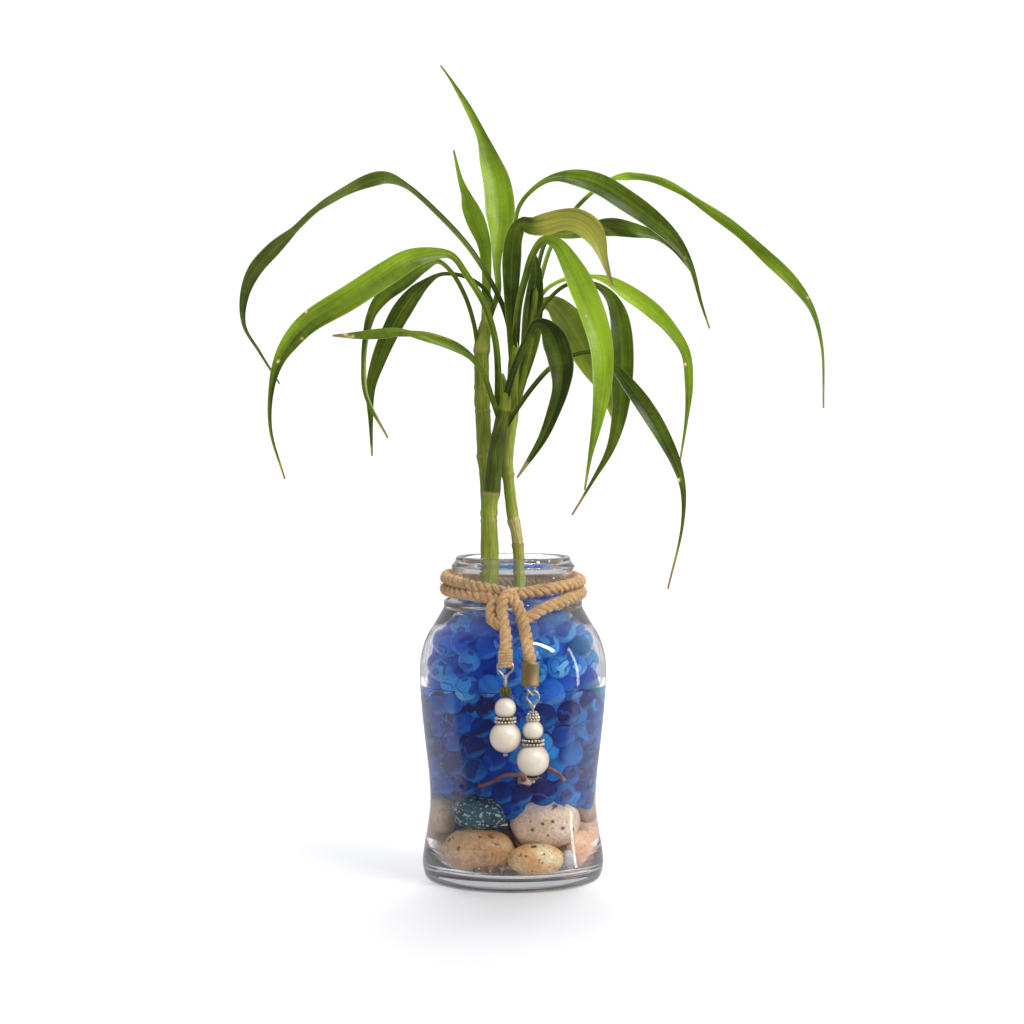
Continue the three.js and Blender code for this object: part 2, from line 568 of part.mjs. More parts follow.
// Neck cord: one rope, twice round the neck, its crossing strands knotted in front,
// [across, up, depth] along each strand
const neckCord = {
  upperTurn: roundNeck([
    [2, 146.6, 34], [32, 149.4, 33.5], [60, 151.6, 33.4], [90, 152.4, 33.4], [120, 153, 33.4],
    [150, 153.4, 33.4], [180, 153.4, 33.4], [210, 152.8, 33.4], [240, 151.8, 33.4],
    [270, 150.8, 33.4], [300, 149.8, 33.4],
    [328, 148.4, 33.5], [356, 146.4, 34.2],
  ]),
  lowerTurn: roundNeck([
    [5, 141.4, 37.9], [18, 144.2, 35.4], [36, 145.2, 34.2], [60, 146, 33.7], [90, 146.6, 33.6],
    [120, 147.2, 33.5], [150, 147.5, 33.5], [180, 147.5, 33.5], [210, 147, 33.5],
    [240, 146.2, 33.6], [270, 145.2, 33.8],
    [292, 144.4, 34.8], [310, 143.2, 36.4], [327, 141.2, 38], [339, 138.9, 39], [349, 135.5, 40.4],
    [357, 134.4, 41.7],
  ]),
  knotSide: [[-8.6, 144, -34.6], [-10.4, 139, -37.6], [-9.6, 133.6, -40], [-4, 131.4, -43]],
  leftEnd: [
    [2, 147, -34.2], [-3.4, 145.6, -38.2], [-5.4, 140, -41], [-4.6, 133, -42.8], [-3.4, 126.5, -46],
    [-3.6, 120, -50.6], [-3.7, 114, -53],
  ],
  rightEnd: [
    [-4, 145.4, -35.4], [0.6, 143.6, -39.4], [3.8, 137, -42], [5.8, 129.4, -45.4], [7, 122, -50],
    [8.2, 116.4, -52.8], [8.3, 111.4, -53],
  ],
};
// Thread bound round the left end of the rope
const whipping = { across: -3.7, up: 116, depth: -52.6, diameter: 7.4, length: 8.4 };
const ropeSteps = { upperTurn: 22, lowerTurn: 26, knotSide: 4, leftEnd: 8, rightEnd: 8 };

// Charms, heights of the middle of each piece on its upright pin
const charmDepth = -53.6;
const leftCharm = {
  across: -3.7, loopTop: 114.8, loopFoot: 108.4, shankFoot: 103.1,
  crystal: 100.4, small: 92.4, ring: 86.7, large: 78.4,
};
const rightCharm = {
  across: 9.6, tube: 109, eyeTop: 100.8, eyeFoot: 94,
  small: 81.6, ring: 75.9, large: 67.3,
};
const pearlRadius = { leftSmall: 5.2, rightSmall: 5.05, leftLarge: 7.7, rightLarge: 7.95 };
const bore = boreDiameter / 2;
const shankRadius = 0.95; // wire wound round its own shank
const endTube = { radius: 4.35, halfLength: 5.8, socketRadius: 3.5, socketDepth: 4.6, cupDepth: 1.4 };
const capHeight = 5.4;

// The loop of the left wire, through the bound end of the rope
function leftLoop(diameter) {
  const { across, loopTop, loopFoot } = leftCharm;
  return solidOf(tube([
    [across - 0.6, loopFoot - 1.4, charmDepth], [across - 1.6, loopFoot + 0.6, charmDepth],
    [across - 3.5, loopFoot + 2.6, charmDepth], [across - 3.4, loopTop - 1, charmDepth + 0.4],
    [across, loopTop, charmDepth + 0.8],
    [across + 3.4, loopTop - 1, charmDepth + 0.4], [across + 3.5, loopFoot + 2.6, charmDepth],
    [across + 1.6, loopFoot + 0.6, charmDepth], [across + 0.6, loopFoot - 1.4, charmDepth],
  ], diameter, 18, 6));
}

function addNeckCord() {
  const { across, up, depth, diameter, length } = whipping;
  const strands = Object.entries(neckCord).map(([name, points]) => {
    return solidOf(tube(points, ropeDiameter, ropeSteps[name], 8));
  });
  const bound = turned([[0, -0.5], [0.43, -0.5], [0.5, 0], [0.43, 0.5], [0, 0.5]], 12);
  bound.scale(diameter, diameter, length);
  strands.push(solidOf(bound.translate(across, depth, up)));
  const rope = joined(strands).subtract(leftLoop(wireDiameter + 2 * gap));
  addPiece('neck_cord', geometryOf(outerBody(rope)), finish.jute);
}

function boredBall(radius, sides, rows) {
  const start = Math.asin(bore / radius);
  const outline = [];
  for (let i = 0; i <= rows; i++) {
    const angle = start + ((Math.PI - 2 * start) * i) / rows;
    outline.push([radius * Math.sin(angle), -radius * Math.cos(angle)]);
  }
  outline.push(outline[0]);
  return turned(outline, sides);
}

function grainedRing(radius, halfHeight, thickness) {
  const [inner, middle] = [radius - thickness, radius - thickness / 2];
  return turned([
    [inner, -0.4 * halfHeight], [middle, -halfHeight], [radius, -0.8 * halfHeight],
    [radius, 0.8 * halfHeight], [middle, halfHeight], [inner, 0.4 * halfHeight],
    [inner, -0.4 * halfHeight],
  ], 14);
}

// An upright rod between two heights
function rod(radius, foot, top, across) {
  const bar = turned([[0, foot], [radius, foot], [radius, top], [0, top]], 6);
  return solidOf(bar.translate(across, charmDepth, 0));
}

function pinHead(foot, across) {
  const outline = [[0, -1.3], [0.9, -1.1], [1.2, -0.5], [0.8, 0], [0, 0]];
  return solidOf(turned(outline, 8).translate(across, charmDepth, foot));
}

function addLeftCharm() {
  const { across, loopFoot, shankFoot, crystal, small, ring, large } = leftCharm;
  const foot = large - pearlRadius.leftLarge - gap;
  const wire = joined([
    leftLoop(wireDiameter),
    rod(shankRadius, shankFoot, loopFoot, across),
    rod(pinDiameter / 2, foot - 0.2, shankFoot + 1, across),
    pinHead(foot, across),
  ]);
  addPiece('left_charm_wire', geometryOf(wire), finish.wire);
  const bead = turned([[bore, -2.3], [2.3, -2.3], [3.2, 0], [2.3, 2.3], [bore, 2.3], [bore, -2.3]], 8);
  addOnPin('left_charm_crystal', bead, across, crystal, finish.crystal);
  addOnPin('left_charm_small_pearl', boredBall(pearlRadius.leftSmall, 12, 6), across, small, finish.pearl);
  addOnPin('left_charm_ring', grainedRing(5.4, 1.7, 1.6), across, ring, finish.oldSilver);
  addOnPin('left_charm_large_pearl', boredBall(pearlRadius.leftLarge, 14, 7), across, large, finish.pearl);
}

function addOnPin(name, geometry, across, up, look) {
  addPiece(name, geometry.translate(across, charmDepth, up), look);
}

// The brass end tube: a socket for the rope above, a shallow cup for the wire link below
function brassTube() {
  const { radius, halfLength, socketRadius, socketDepth, cupDepth } = endTube;
  return turned([
    [0, cupDepth - halfLength], [socketRadius, cupDepth - halfLength], [socketRadius, -halfLength],
    [radius, -halfLength], [radius, halfLength], [socketRadius, halfLength],
    [socketRadius, halfLength - socketDepth], [0, halfLength - socketDepth],
  ], 16);
}

// The wire V that hangs from the cup of the end tube and carries the eye of the pin
function charmLink() {
  const { across, tube: tubeHeight, eyeTop } = rightCharm;
  const tubeAcross = neckCord.rightEnd.at(-1)[0];
  const cup = tubeHeight - endTube.halfLength + endTube.cupDepth - wireDiameter / 2 - 0.1;
  return tube([
    [tubeAcross - 2.2, cup, charmDepth - 0.6], [tubeAcross - 1.2, cup - 2.6, charmDepth - 1.4],
    [across - 0.5, eyeTop - 1.7, charmDepth - 0.8], [across + 0.3, eyeTop - 1.7, charmDepth + 0.8],
    [across + 0.9, cup - 2.6, charmDepth + 1.4], [tubeAcross + 2.2, cup, charmDepth + 0.6],
  ], wireDiameter, 12, 6);
}

// The eye at the pin's top, a drop-shaped loop
function pinEye() {
  const { across, eyeTop, eyeFoot } = rightCharm;
  const at = (side, share) => [across + side, THREE.MathUtils.lerp(eyeFoot, eyeTop, share), charmDepth];
  return tube([
    at(-0.6, -0.12), at(-1.2, 0.12), at(-2.9, 0.5), at(-2, 0.88), at(0, 1),
    at(2, 0.88), at(2.9, 0.5), at(1.2, 0.12), at(0.6, -0.12),
  ], wireDiameter, 18, 6);
}

function addRightCharm() {
  const { across, tube: tubeHeight, eyeFoot, small, ring, large } = rightCharm;
  const [tubeAcross, , tubeDepth] = neckCord.rightEnd.at(-1);
  addPiece('right_charm_tube', brassTube().translate(tubeAcross, tubeDepth, tubeHeight), finish.brass);
  addPiece('right_charm_link', geometryOf(solidOf(charmLink())), finish.wire);
  const capFoot = small + pearlRadius.rightSmall - 0.7;
  const endCapFoot = large - pearlRadius.rightLarge - 1.65;
  const foot = endCapFoot - gap;
  const pin = joined([
    solidOf(pinEye()),
    rod(shankRadius, capFoot + capHeight + 1, eyeFoot + 0.3, across),
    rod(pinDiameter / 2, foot - 0.2, eyeFoot, across),
    pinHead(foot, across),
  ]);
  addPiece('right_charm_pin', geometryOf(pin), finish.wire);
  const cap = turned([
    [bore, 1.05], [2.2, 0.65], [3.3, 0], [3.5, 1.4], [3.1, 3.4], [2.2, 5], [bore, capHeight],
    [bore, 1.05],
  ], 14);
  addOnPin('right_charm_cap', cap, across, capFoot, finish.oldSilver);
  const { rightSmall, rightLarge } = pearlRadius;
  addOnPin('right_charm_small_pearl', boredBall(rightSmall, 12, 6), across, small, finish.pearl);
  addOnPin('right_charm_ring', grainedRing(5.7, 1.8, 1.5), across, ring, finish.oldSilver);
  addOnPin('right_charm_large_pearl', boredBall(rightLarge, 14, 7), across, large, finish.pearl);
  const endCap = turned([[bore, 0], [2, 0.2], [3.1, 1.2], [3, 1.8], [bore, 1.25], [bore, 0]], 12);
  addOnPin('right_charm_end_cap', endCap, across, endCapFoot, finish.oldSilver);
}

const stones = stonesWithGap();
addStones();
addPiece('water', geometryOf(waterBody(stones)), finish.water);
addPiece('water_beads', geometryOf(beadHeap(stones)), finish.beads);
Object.keys(canes).forEach(addLeafyCane);
addNeckCord();
addLeftCharm();
addRightCharm();

export default object;
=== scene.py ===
import math
import bpy
import numpy as np
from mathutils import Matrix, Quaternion, Vector, noise


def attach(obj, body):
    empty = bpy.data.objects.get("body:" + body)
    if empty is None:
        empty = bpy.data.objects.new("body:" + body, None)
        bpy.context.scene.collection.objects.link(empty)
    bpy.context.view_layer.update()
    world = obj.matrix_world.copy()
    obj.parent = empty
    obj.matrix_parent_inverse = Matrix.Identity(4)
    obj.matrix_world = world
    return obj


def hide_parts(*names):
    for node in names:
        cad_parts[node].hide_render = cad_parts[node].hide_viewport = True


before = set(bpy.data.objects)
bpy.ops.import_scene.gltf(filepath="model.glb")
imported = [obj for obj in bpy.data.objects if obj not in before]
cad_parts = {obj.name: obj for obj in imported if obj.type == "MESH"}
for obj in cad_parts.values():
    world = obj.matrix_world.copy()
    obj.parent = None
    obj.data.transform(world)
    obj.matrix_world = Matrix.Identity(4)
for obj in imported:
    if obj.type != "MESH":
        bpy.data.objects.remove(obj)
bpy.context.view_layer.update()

scene = bpy.context.scene
mm = 0.001  # lengths below are in millimetres, where nothing else is said
print("frame loaded")


# camera

view = {"eye": (-0.5, -1500, 250), "target": (-0.5, 0, 185), "lens": 105.6, "sensor": 36, "reach": 50}


def setCamera():
    camera = bpy.data.cameras.new("camera")
    camera.lens = view["lens"]
    camera.sensor_width = view["sensor"]
    camera.clip_end = view["reach"]
    holder = bpy.data.objects.new("camera", camera)
    scene.collection.objects.link(holder)
    holder.location = Vector(view["eye"]) * mm
    sight = Vector(view["target"]) - Vector(view["eye"])
    holder.rotation_euler = sight.to_track_quat("-Z", "Y").to_euler()
    scene.camera = holder


# finishes are small node trees. One is made at a time: the helpers add nodes to the tree opened last

current = {}


def openTree(owner):
    owner.use_nodes = True
    current["tree"] = owner.node_tree
    return owner


def newFinish(name, **sockets):
    finish = openTree(bpy.data.materials.new(name))
    skin = current["tree"].nodes["Principled BSDF"]
    for socket, value in sockets.items():
        skin.inputs[socket.replace("_", " ")].default_value = value
    return finish, skin


def fill(socket, value):
    if isinstance(value, bpy.types.NodeSocket):
        current["tree"].links.new(value, socket)
    elif socket.type == "RGBA" and len(value) == 3:
        socket.default_value = (*value, 1)
    else:
        socket.default_value = value


def addNode(kind, settings=None, **sockets):
    made = current["tree"].nodes.new(kind)
    for key, value in (settings or {}).items():
        setattr(made, key, value)
    for socket, value in sockets.items():
        fill(made.inputs[socket.replace("_", " ")], value)
    return made


def paint(skin, shade):
    fill(skin.inputs["Base Color"], shade)


def attribute(name):
    return addNode("ShaderNodeAttribute", {"attribute_name": name}).outputs["Fac"]


def placeOf():
    return addNode("ShaderNodeTexCoord").outputs["Object"]


def axisOf(axis):
    return addNode("ShaderNodeSeparateXYZ", None, Vector=placeOf()).outputs[axis]


def combined(x, y, z):
    made = addNode("ShaderNodeCombineXYZ")
    for socket, value in zip(made.inputs, (x, y, z)):
        fill(socket, value)
    return made.outputs[0]


def calculate(how, first, second=0.5, third=0.0):
    made = addNode("ShaderNodeMath", {"operation": how})
    for socket, value in zip(made.inputs, (first, second, third)):
        fill(socket, value)
    return made.outputs[0]


def times(first, second):
    return calculate("MULTIPLY", first, second)


def plus(first, *others):
    for other in others:
        first = calculate("ADD", first, other)
    return first


def minus(first, second):
    return calculate("SUBTRACT", first, second)


def rangeOf(value, low, high, newLow=0.0, newHigh=1.0):
    made = addNode("ShaderNodeMapRange", None, Value=value)
    for socket, number in zip(made.inputs[1:5], (low, high, newLow, newHigh)):
        fill(socket, number)
    return made.outputs[0]


def varied(value, least, most):
    return rangeOf(value, 0.3, 0.7, least, most)


def blendColours(share, first, second, how="MIX"):
    made = addNode("ShaderNodeMix", {"data_type": "RGBA", "blend_type": how})
    for socket, value in zip((made.inputs[0], made.inputs[6], made.inputs[7]), (share, first, second)):
        fill(socket, value)
    return made.outputs[2]


def blendNumbers(share, first, second):
    made = addNode("ShaderNodeMix", {"data_type": "FLOAT"})
    for socket, value in zip((made.inputs[0], made.inputs[2], made.inputs[3]), (share, first, second)):
        fill(socket, value)
    return made.outputs[0]


def shaded(base, light):
    return blendColours(1.0, base, combined(light, light, light), "MULTIPLY")


def ramp(value, stops):
    made = addNode("ShaderNodeValToRGB", None, Fac=value)
    points = made.color_ramp.elements
    while len(points) < len(stops):
        points.new(0.5)
    for point, (spot, shade) in zip(points, stops):
        point.position = spot
        point.color = (*shade, 1)
    return made.outputs["Color"]


def noiseAt(scale, detail=4.0, spot=None, roughness=0.5):
    made = addNode("ShaderNodeTexNoise", None, Scale=scale, Detail=detail, Roughness=roughness)
    fill(made.inputs["Vector"], placeOf() if spot is None else spot)
    return made.outputs["Fac"]


def roughen(skin, height, distance, strength=1.0):
    bump = addNode("ShaderNodeBump", None, Height=height, Distance=distance, Strength=strength)
    fill(skin.inputs["Normal"], bump.outputs[0])


# light reaches what stands in glass, gel or water: shadow and diffuse rays pass, a little tinted

def letLightIn(skin, tint, opened=None):
    rays = addNode("ShaderNodeLightPath")
    passing = calculate("MAXIMUM", rays.outputs["Is Shadow Ray"], rays.outputs["Is Diffuse Ray"])
    if opened is not None:
        passing = calculate("MAXIMUM", passing, opened)
    clear = addNode("ShaderNodeBsdfTransparent", None, Color=tint)
    mixed = addNode("ShaderNodeMixShader", None, Fac=passing)
    fill(mixed.inputs[1], skin.outputs[0])
    fill(mixed.inputs[2], clear.outputs[0])
    fill(current["tree"].nodes["Material Output"].inputs["Surface"], mixed.outputs[0])


# meshes are gathered from parts: (points, faces, numbers kept at each point)

def gathered(parts):
    points, faces, kept, start = [], [], {}, 0
    for part in parts:
        spots, sides = part[0], part[1]
        numbers = part[2] if len(part) > 2 else {}
        points.append(spots)
        faces += [tuple(corner + start for corner in side) for side in sides]
        for key, values in numbers.items():
            kept.setdefault(key, []).append((start, np.broadcast_to(values, len(spots))))
        start += len(spots)
    whole = {}
    for key, runs in kept.items():
        whole[key] = np.zeros(start)
        for first, values in runs:
            whole[key][first:first + len(values)] = values
    return np.concatenate(points), faces, whole


def outward(points, faces):
    corners = np.array([side[:3] for side in faces])
    middle = points - points.mean(axis=0)
    first, second, third = (middle[corners[:, k]] for k in range(3))
    volume = np.einsum("ij,ij->", first, np.cross(second, third))
    return faces if volume > 0 else [side[::-1] for side in faces]


def addPiece(name, parts, finish, node, sharpAngle=60):
    points, faces, kept = gathered(parts)
    mesh = bpy.data.meshes.new(name)
    mesh.from_pydata((points * mm).tolist(), [], faces)
    mesh.materials.append(finish)
    for key, values in kept.items():
        mesh.attributes.new(key, "FLOAT", "POINT").data.foreach_set("value", values)
    mesh.polygons.foreach_set("use_smooth", [True] * len(mesh.polygons))
    mesh.set_sharp_from_angle(angle=math.radians(sharpAngle))
    mesh.update()
    piece = bpy.data.objects.new(name, mesh)
    scene.collection.objects.link(piece)
    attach(piece, "root")
    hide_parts(node)


# curves: rows hold [across, up, depth, ...], and a share runs from 0 to 1 along them

def place(row):
    across, up, depth = row[:3]
    return np.array([across, depth, up], float)


def lineThrough(points):
    spots = np.asarray(points, float)
    last = len(spots) - 1

    def at(share):
        along = share * last
        i = min(int(along), last - 1)
        w = along - i
        p1, p2 = spots[i], spots[i + 1]
        p0 = spots[i - 1] if i > 0 else 2 * p1 - p2
        p3 = spots[i + 2] if i + 2 <= last else 2 * p2 - p1
        gaps = (p1 - p0, p2 - p1, p3 - p2)
        d0, d1, d2 = (math.sqrt(max(np.linalg.norm(gap), 1e-8)) for gap in gaps)
        m1 = ((p1 - p0) / d0 - (p2 - p0) / (d0 + d1) + (p2 - p1) / d1) * d1
        m2 = ((p2 - p1) / d1 - (p3 - p1) / (d1 + d2) + (p3 - p2) / d2) * d1
        cubic = (2 * (p1 - p2) + m1 + m2) * w ** 3
        return p1 + m1 * w + (3 * (p2 - p1) - 2 * m1 - m2) * w * w + cubic

    return at


def headingOf(line, share):
    step = 1e-3
    ahead = line(min(share + step, 1)) - line(max(share - step, 0))
    return ahead / np.linalg.norm(ahead)


def measured(line, steps):
    dense = np.array([line(i / steps) for i in range(steps + 1)])
    reach = np.concatenate([[0], np.cumsum(np.linalg.norm(np.diff(dense, axis=0), axis=1))])
    return dense, reach


def shareAt(reach, i, count):
    return float(np.interp(reach[-1] * i / count, reach, np.linspace(0, 1, len(reach))))


def between(values, share):
    return float(np.interp(share * (len(values) - 1), range(len(values)), values))


def easedBetween(values, share):
    numbers = np.asarray(values, float)
    at = share * (len(numbers) - 1)
    i = min(int(at), len(numbers) - 2)
    w = at - i
    slopes = np.gradient(numbers)
    for j in range(1, len(numbers) - 1):
        if (numbers[j] - numbers[j - 1]) * (numbers[j + 1] - numbers[j]) <= 0:
            slopes[j] = 0
    a, b, ma, mb = numbers[i], numbers[i + 1], slopes[i], slopes[i + 1]
    return float(a + ma * w + (3 * (b - a) - 2 * ma - mb) * w * w + (2 * (a - b) + ma + mb) * w ** 3)


def smoothStep(value, low, high):
    share = min(max((value - low) / (high - low), 0), 1)
    return share * share * (3 - 2 * share)


def softened(outline, steps):
    line = lineThrough(outline)
    count = steps * (len(outline) - 1)
    return [tuple(line(i / count)) for i in range(count + 1)]


# shapes

def skinOver(rings, closed=False):
    count, sides = rings.shape[:2]
    faces = []
    for i in range(count if closed else count - 1):
        n = (i + 1) % count
        for j in range(sides):
            k = (j + 1) % sides
            faces.append((i * sides + j, i * sides + k, n * sides + k, n * sides + j))
    points = rings.reshape(-1, 3)
    if not closed:
        faces.append(tuple(range(sides))[::-1])
        faces.append(tuple((count - 1) * sides + j for j in range(sides)))
    return points, outward(points, faces)


def turnsOf(sides):
    return 2 * np.pi * np.arange(sides) / sides


def steadyFrames(points):
    ahead = np.gradient(points, axis=0)
    ahead /= np.linalg.norm(ahead, axis=1)[:, None]
    start = np.array([0.0, 0.0, 1.0]) if abs(ahead[0][2]) < 0.8 else np.array([1.0, 0.0, 0.0])
    right = np.cross(ahead[0], start)
    frames = []
    for direction in ahead:
        right = right - direction * np.dot(right, direction)
        right /= np.linalg.norm(right)
        frames.append((right, np.cross(direction, right)))
    return frames


def tube(points, radius, sides):
    points = np.asarray(points, float)
    cosines, sines = np.cos(turnsOf(sides)), np.sin(turnsOf(sides))
    rings = []
    for point, (right, up), size in zip(points, steadyFrames(points), np.broadcast_to(radius, len(points))):
        rings.append(point + size * (np.outer(cosines, right) + np.outer(sines, up)))
    return skinOver(np.array(rings))


def turned(outline, sides, wobble=None):
    turn = turnsOf(sides)
    points, faces, previous, count = [], [], None, 0
    for radius, height in outline:
        if radius < 1e-6:
            ring = [count]
            points.append([0, 0, height])
        else:
            ring = list(range(count, count + sides))
            radii = radius if wobble is None else radius + wobble(turn, height)
            level = np.full(sides, height)
            points += np.stack([radii * np.cos(turn), radii * np.sin(turn), level], 1).tolist()
        count += len(ring)
        if previous is not None:
            for j in range(sides):
                k = (j + 1) % sides
                low = previous[j % len(previous)], previous[k % len(previous)]
                side = tuple(dict.fromkeys([*low, ring[k % len(ring)], ring[j % len(ring)]]))
                if len(side) > 2:
                    faces.append(side)
        previous = ring
    spots = np.array(points, float)
    return spots, outward(spots, faces)


def closedTurn(outline, sides):
    rings = [[[r * math.cos(a), r * math.sin(a), z] for r, z in outline] for a in turnsOf(sides)]
    return skinOver(np.array(rings), closed=True)


unitBalls = {}


def ball(radius, columns, rows):
    if (columns, rows) not in unitBalls:
        turns = [math.pi * i / rows for i in range(1, rows)]
        outline = [(0, -1), *[(math.sin(turn), -math.cos(turn)) for turn in turns], (0, 1)]
        unitBalls[columns, rows] = turned(outline, columns)
    points, faces = unitBalls[columns, rows]
    return points * radius, faces


def moved(part, across, up, depth):
    return (part[0] + np.array([across, depth, up]), *part[1:])


setCamera()
print("camera set")


# studio

studio = {
    "floorWidth": 1000,
    "floorFront": -430,
    "floorBack": 1000,
    "floorLevel": -0.3,
    "floorShades": [(0.70, 0.70, 0.705), (0.69, 0.69, 0.695)],
    "floorInGlass": 0.08,  # shade of the floor in front, as seen through the glass
    "airForDiffuse": 0.8,
    "airSeen": 1.1,
    "airInFront": 0.05,  # these three for rays that come out of the glass
    "airBeside": 0.74,
    "airBehind": 1.05,
    "glossInFront": 0.07,
    "glossBehind": 0.62,
    "airTint": (0.93, 0.94, 1.0),
}

# place, width, height, power, colour, whether it shows in reflections, spin in degrees
lamps = {
    "keyLight": [(950, -1000, 1150), 130, 1000, 21, (1, 0.985, 0.96), True, 48],
    "sideLight": [(1500, -180, 350), 110, 900, 3, (1, 1, 1), True, 12],
    "backLight": [(300, 1300, 900), 900, 900, 5, (1, 1, 1), False, 0],
    "floorLight": [(0, 1700, 1500), 1500, 1500, 54, (1, 1, 1), False, 0],
}


def floorFinish():
    floorPaper, skin = newFinish("floorPaper", Roughness=0.6)
    grain = varied(noiseAt(30.0), 0.0, 0.4)
    tone = blendColours(grain, *studio["floorShades"])
    inFront = rangeOf(axisOf(1), -0.10, -0.06, 1.0, 0.0)
    throughGlass = addNode("ShaderNodeLightPath").outputs["Is Transmission Ray"]
    hidden = times(throughGlass, inFront)
    tone = blendColours(hidden, tone, [studio["floorInGlass"]] * 3)
    paint(skin, tone)
    return floorPaper


def addFloor():
    half, front, back = studio["floorWidth"] / 2, studio["floorFront"], studio["floorBack"]
    corners = np.array([(-half, front, 0), (half, front, 0), (half, back, 0), (-half, back, 0)], float)
    corners[:, 2] = studio["floorLevel"]
    mesh = bpy.data.meshes.new("floor")
    mesh.from_pydata((corners * mm).tolist(), [], [(0, 1, 2, 3)])
    mesh.materials.append(floorFinish())
    floor = bpy.data.objects.new("floor", mesh)
    floor.visible_glossy = False
    scene.collection.objects.link(floor)


def addLamp(name, row):
    spot, width, height, power, shade, shows, spin = row
    lamp = bpy.data.lights.new(name, "AREA")
    lamp.shape = "RECTANGLE"
    lamp.size = width * mm
    lamp.size_y = height * mm
    lamp.energy = power
    lamp.color = shade
    holder = bpy.data.objects.new(name, lamp)
    scene.collection.objects.link(holder)
    holder.location = Vector(spot) * mm
    aim = Vector((0, 0 if name != "floorLight" else spot[1], 150)) - Vector(spot)
    spun = Quaternion((0, 0, 1), math.radians(spin))
    holder.rotation_euler = (aim.to_track_quat("-Z", "Y") @ spun).to_euler()
    holder.visible_glossy = shows
    holder.visible_transmission = False


def addAir():
    scene.world = openTree(bpy.data.worlds.new("studioAir"))
    rays = addNode("ShaderNodeLightPath").outputs
    towards = addNode("ShaderNodeTexCoord").outputs["Generated"]
    back = addNode("ShaderNodeSeparateXYZ", None, Vector=towards).outputs[1]
    beside, behind = studio["airBeside"], studio["airBehind"]
    level = rangeOf(back, -0.4, 0.2, studio["airInFront"], beside)
    level = plus(level, rangeOf(back, 0.1, 0.92, 0.0, behind - beside))
    gloss = rangeOf(back, -0.6, 0.7, studio["glossInFront"], studio["glossBehind"])
    level = blendNumbers(rays["Is Glossy Ray"], level, gloss)
    level = blendNumbers(rays["Is Diffuse Ray"], level, studio["airForDiffuse"])
    level = blendNumbers(rays["Is Camera Ray"], level, studio["airSeen"])
    air = current["tree"].nodes["Background"]
    fill(air.inputs["Strength"], level)
    tint = blendColours(rangeOf(level, beside, 1.0), studio["airTint"], (1, 1, 1))
    fill(air.inputs["Color"], tint)
    scene.view_settings.view_transform = "Standard"


addFloor()
addAir()
for name, row in lamps.items():
    addLamp(name, row)
print("floor and light set")


# leafy canes: leaves, cane and roots, in the places that the solids have

leafGrain = {
    "columns": 22,
    "stationGap": 2.0,
    "narrowest": 0.5,
    "thickness": 0.36,
    "ribExtra": 0.35,  # how much thicker the midrib is
    "sink": 0.17,  # how deep the blade folds along its middle, as a share of its width
    "pleat": 0.05,
    "pleats": 4,
    "veinGap": 1.05,
    "waves": 0.045,
}

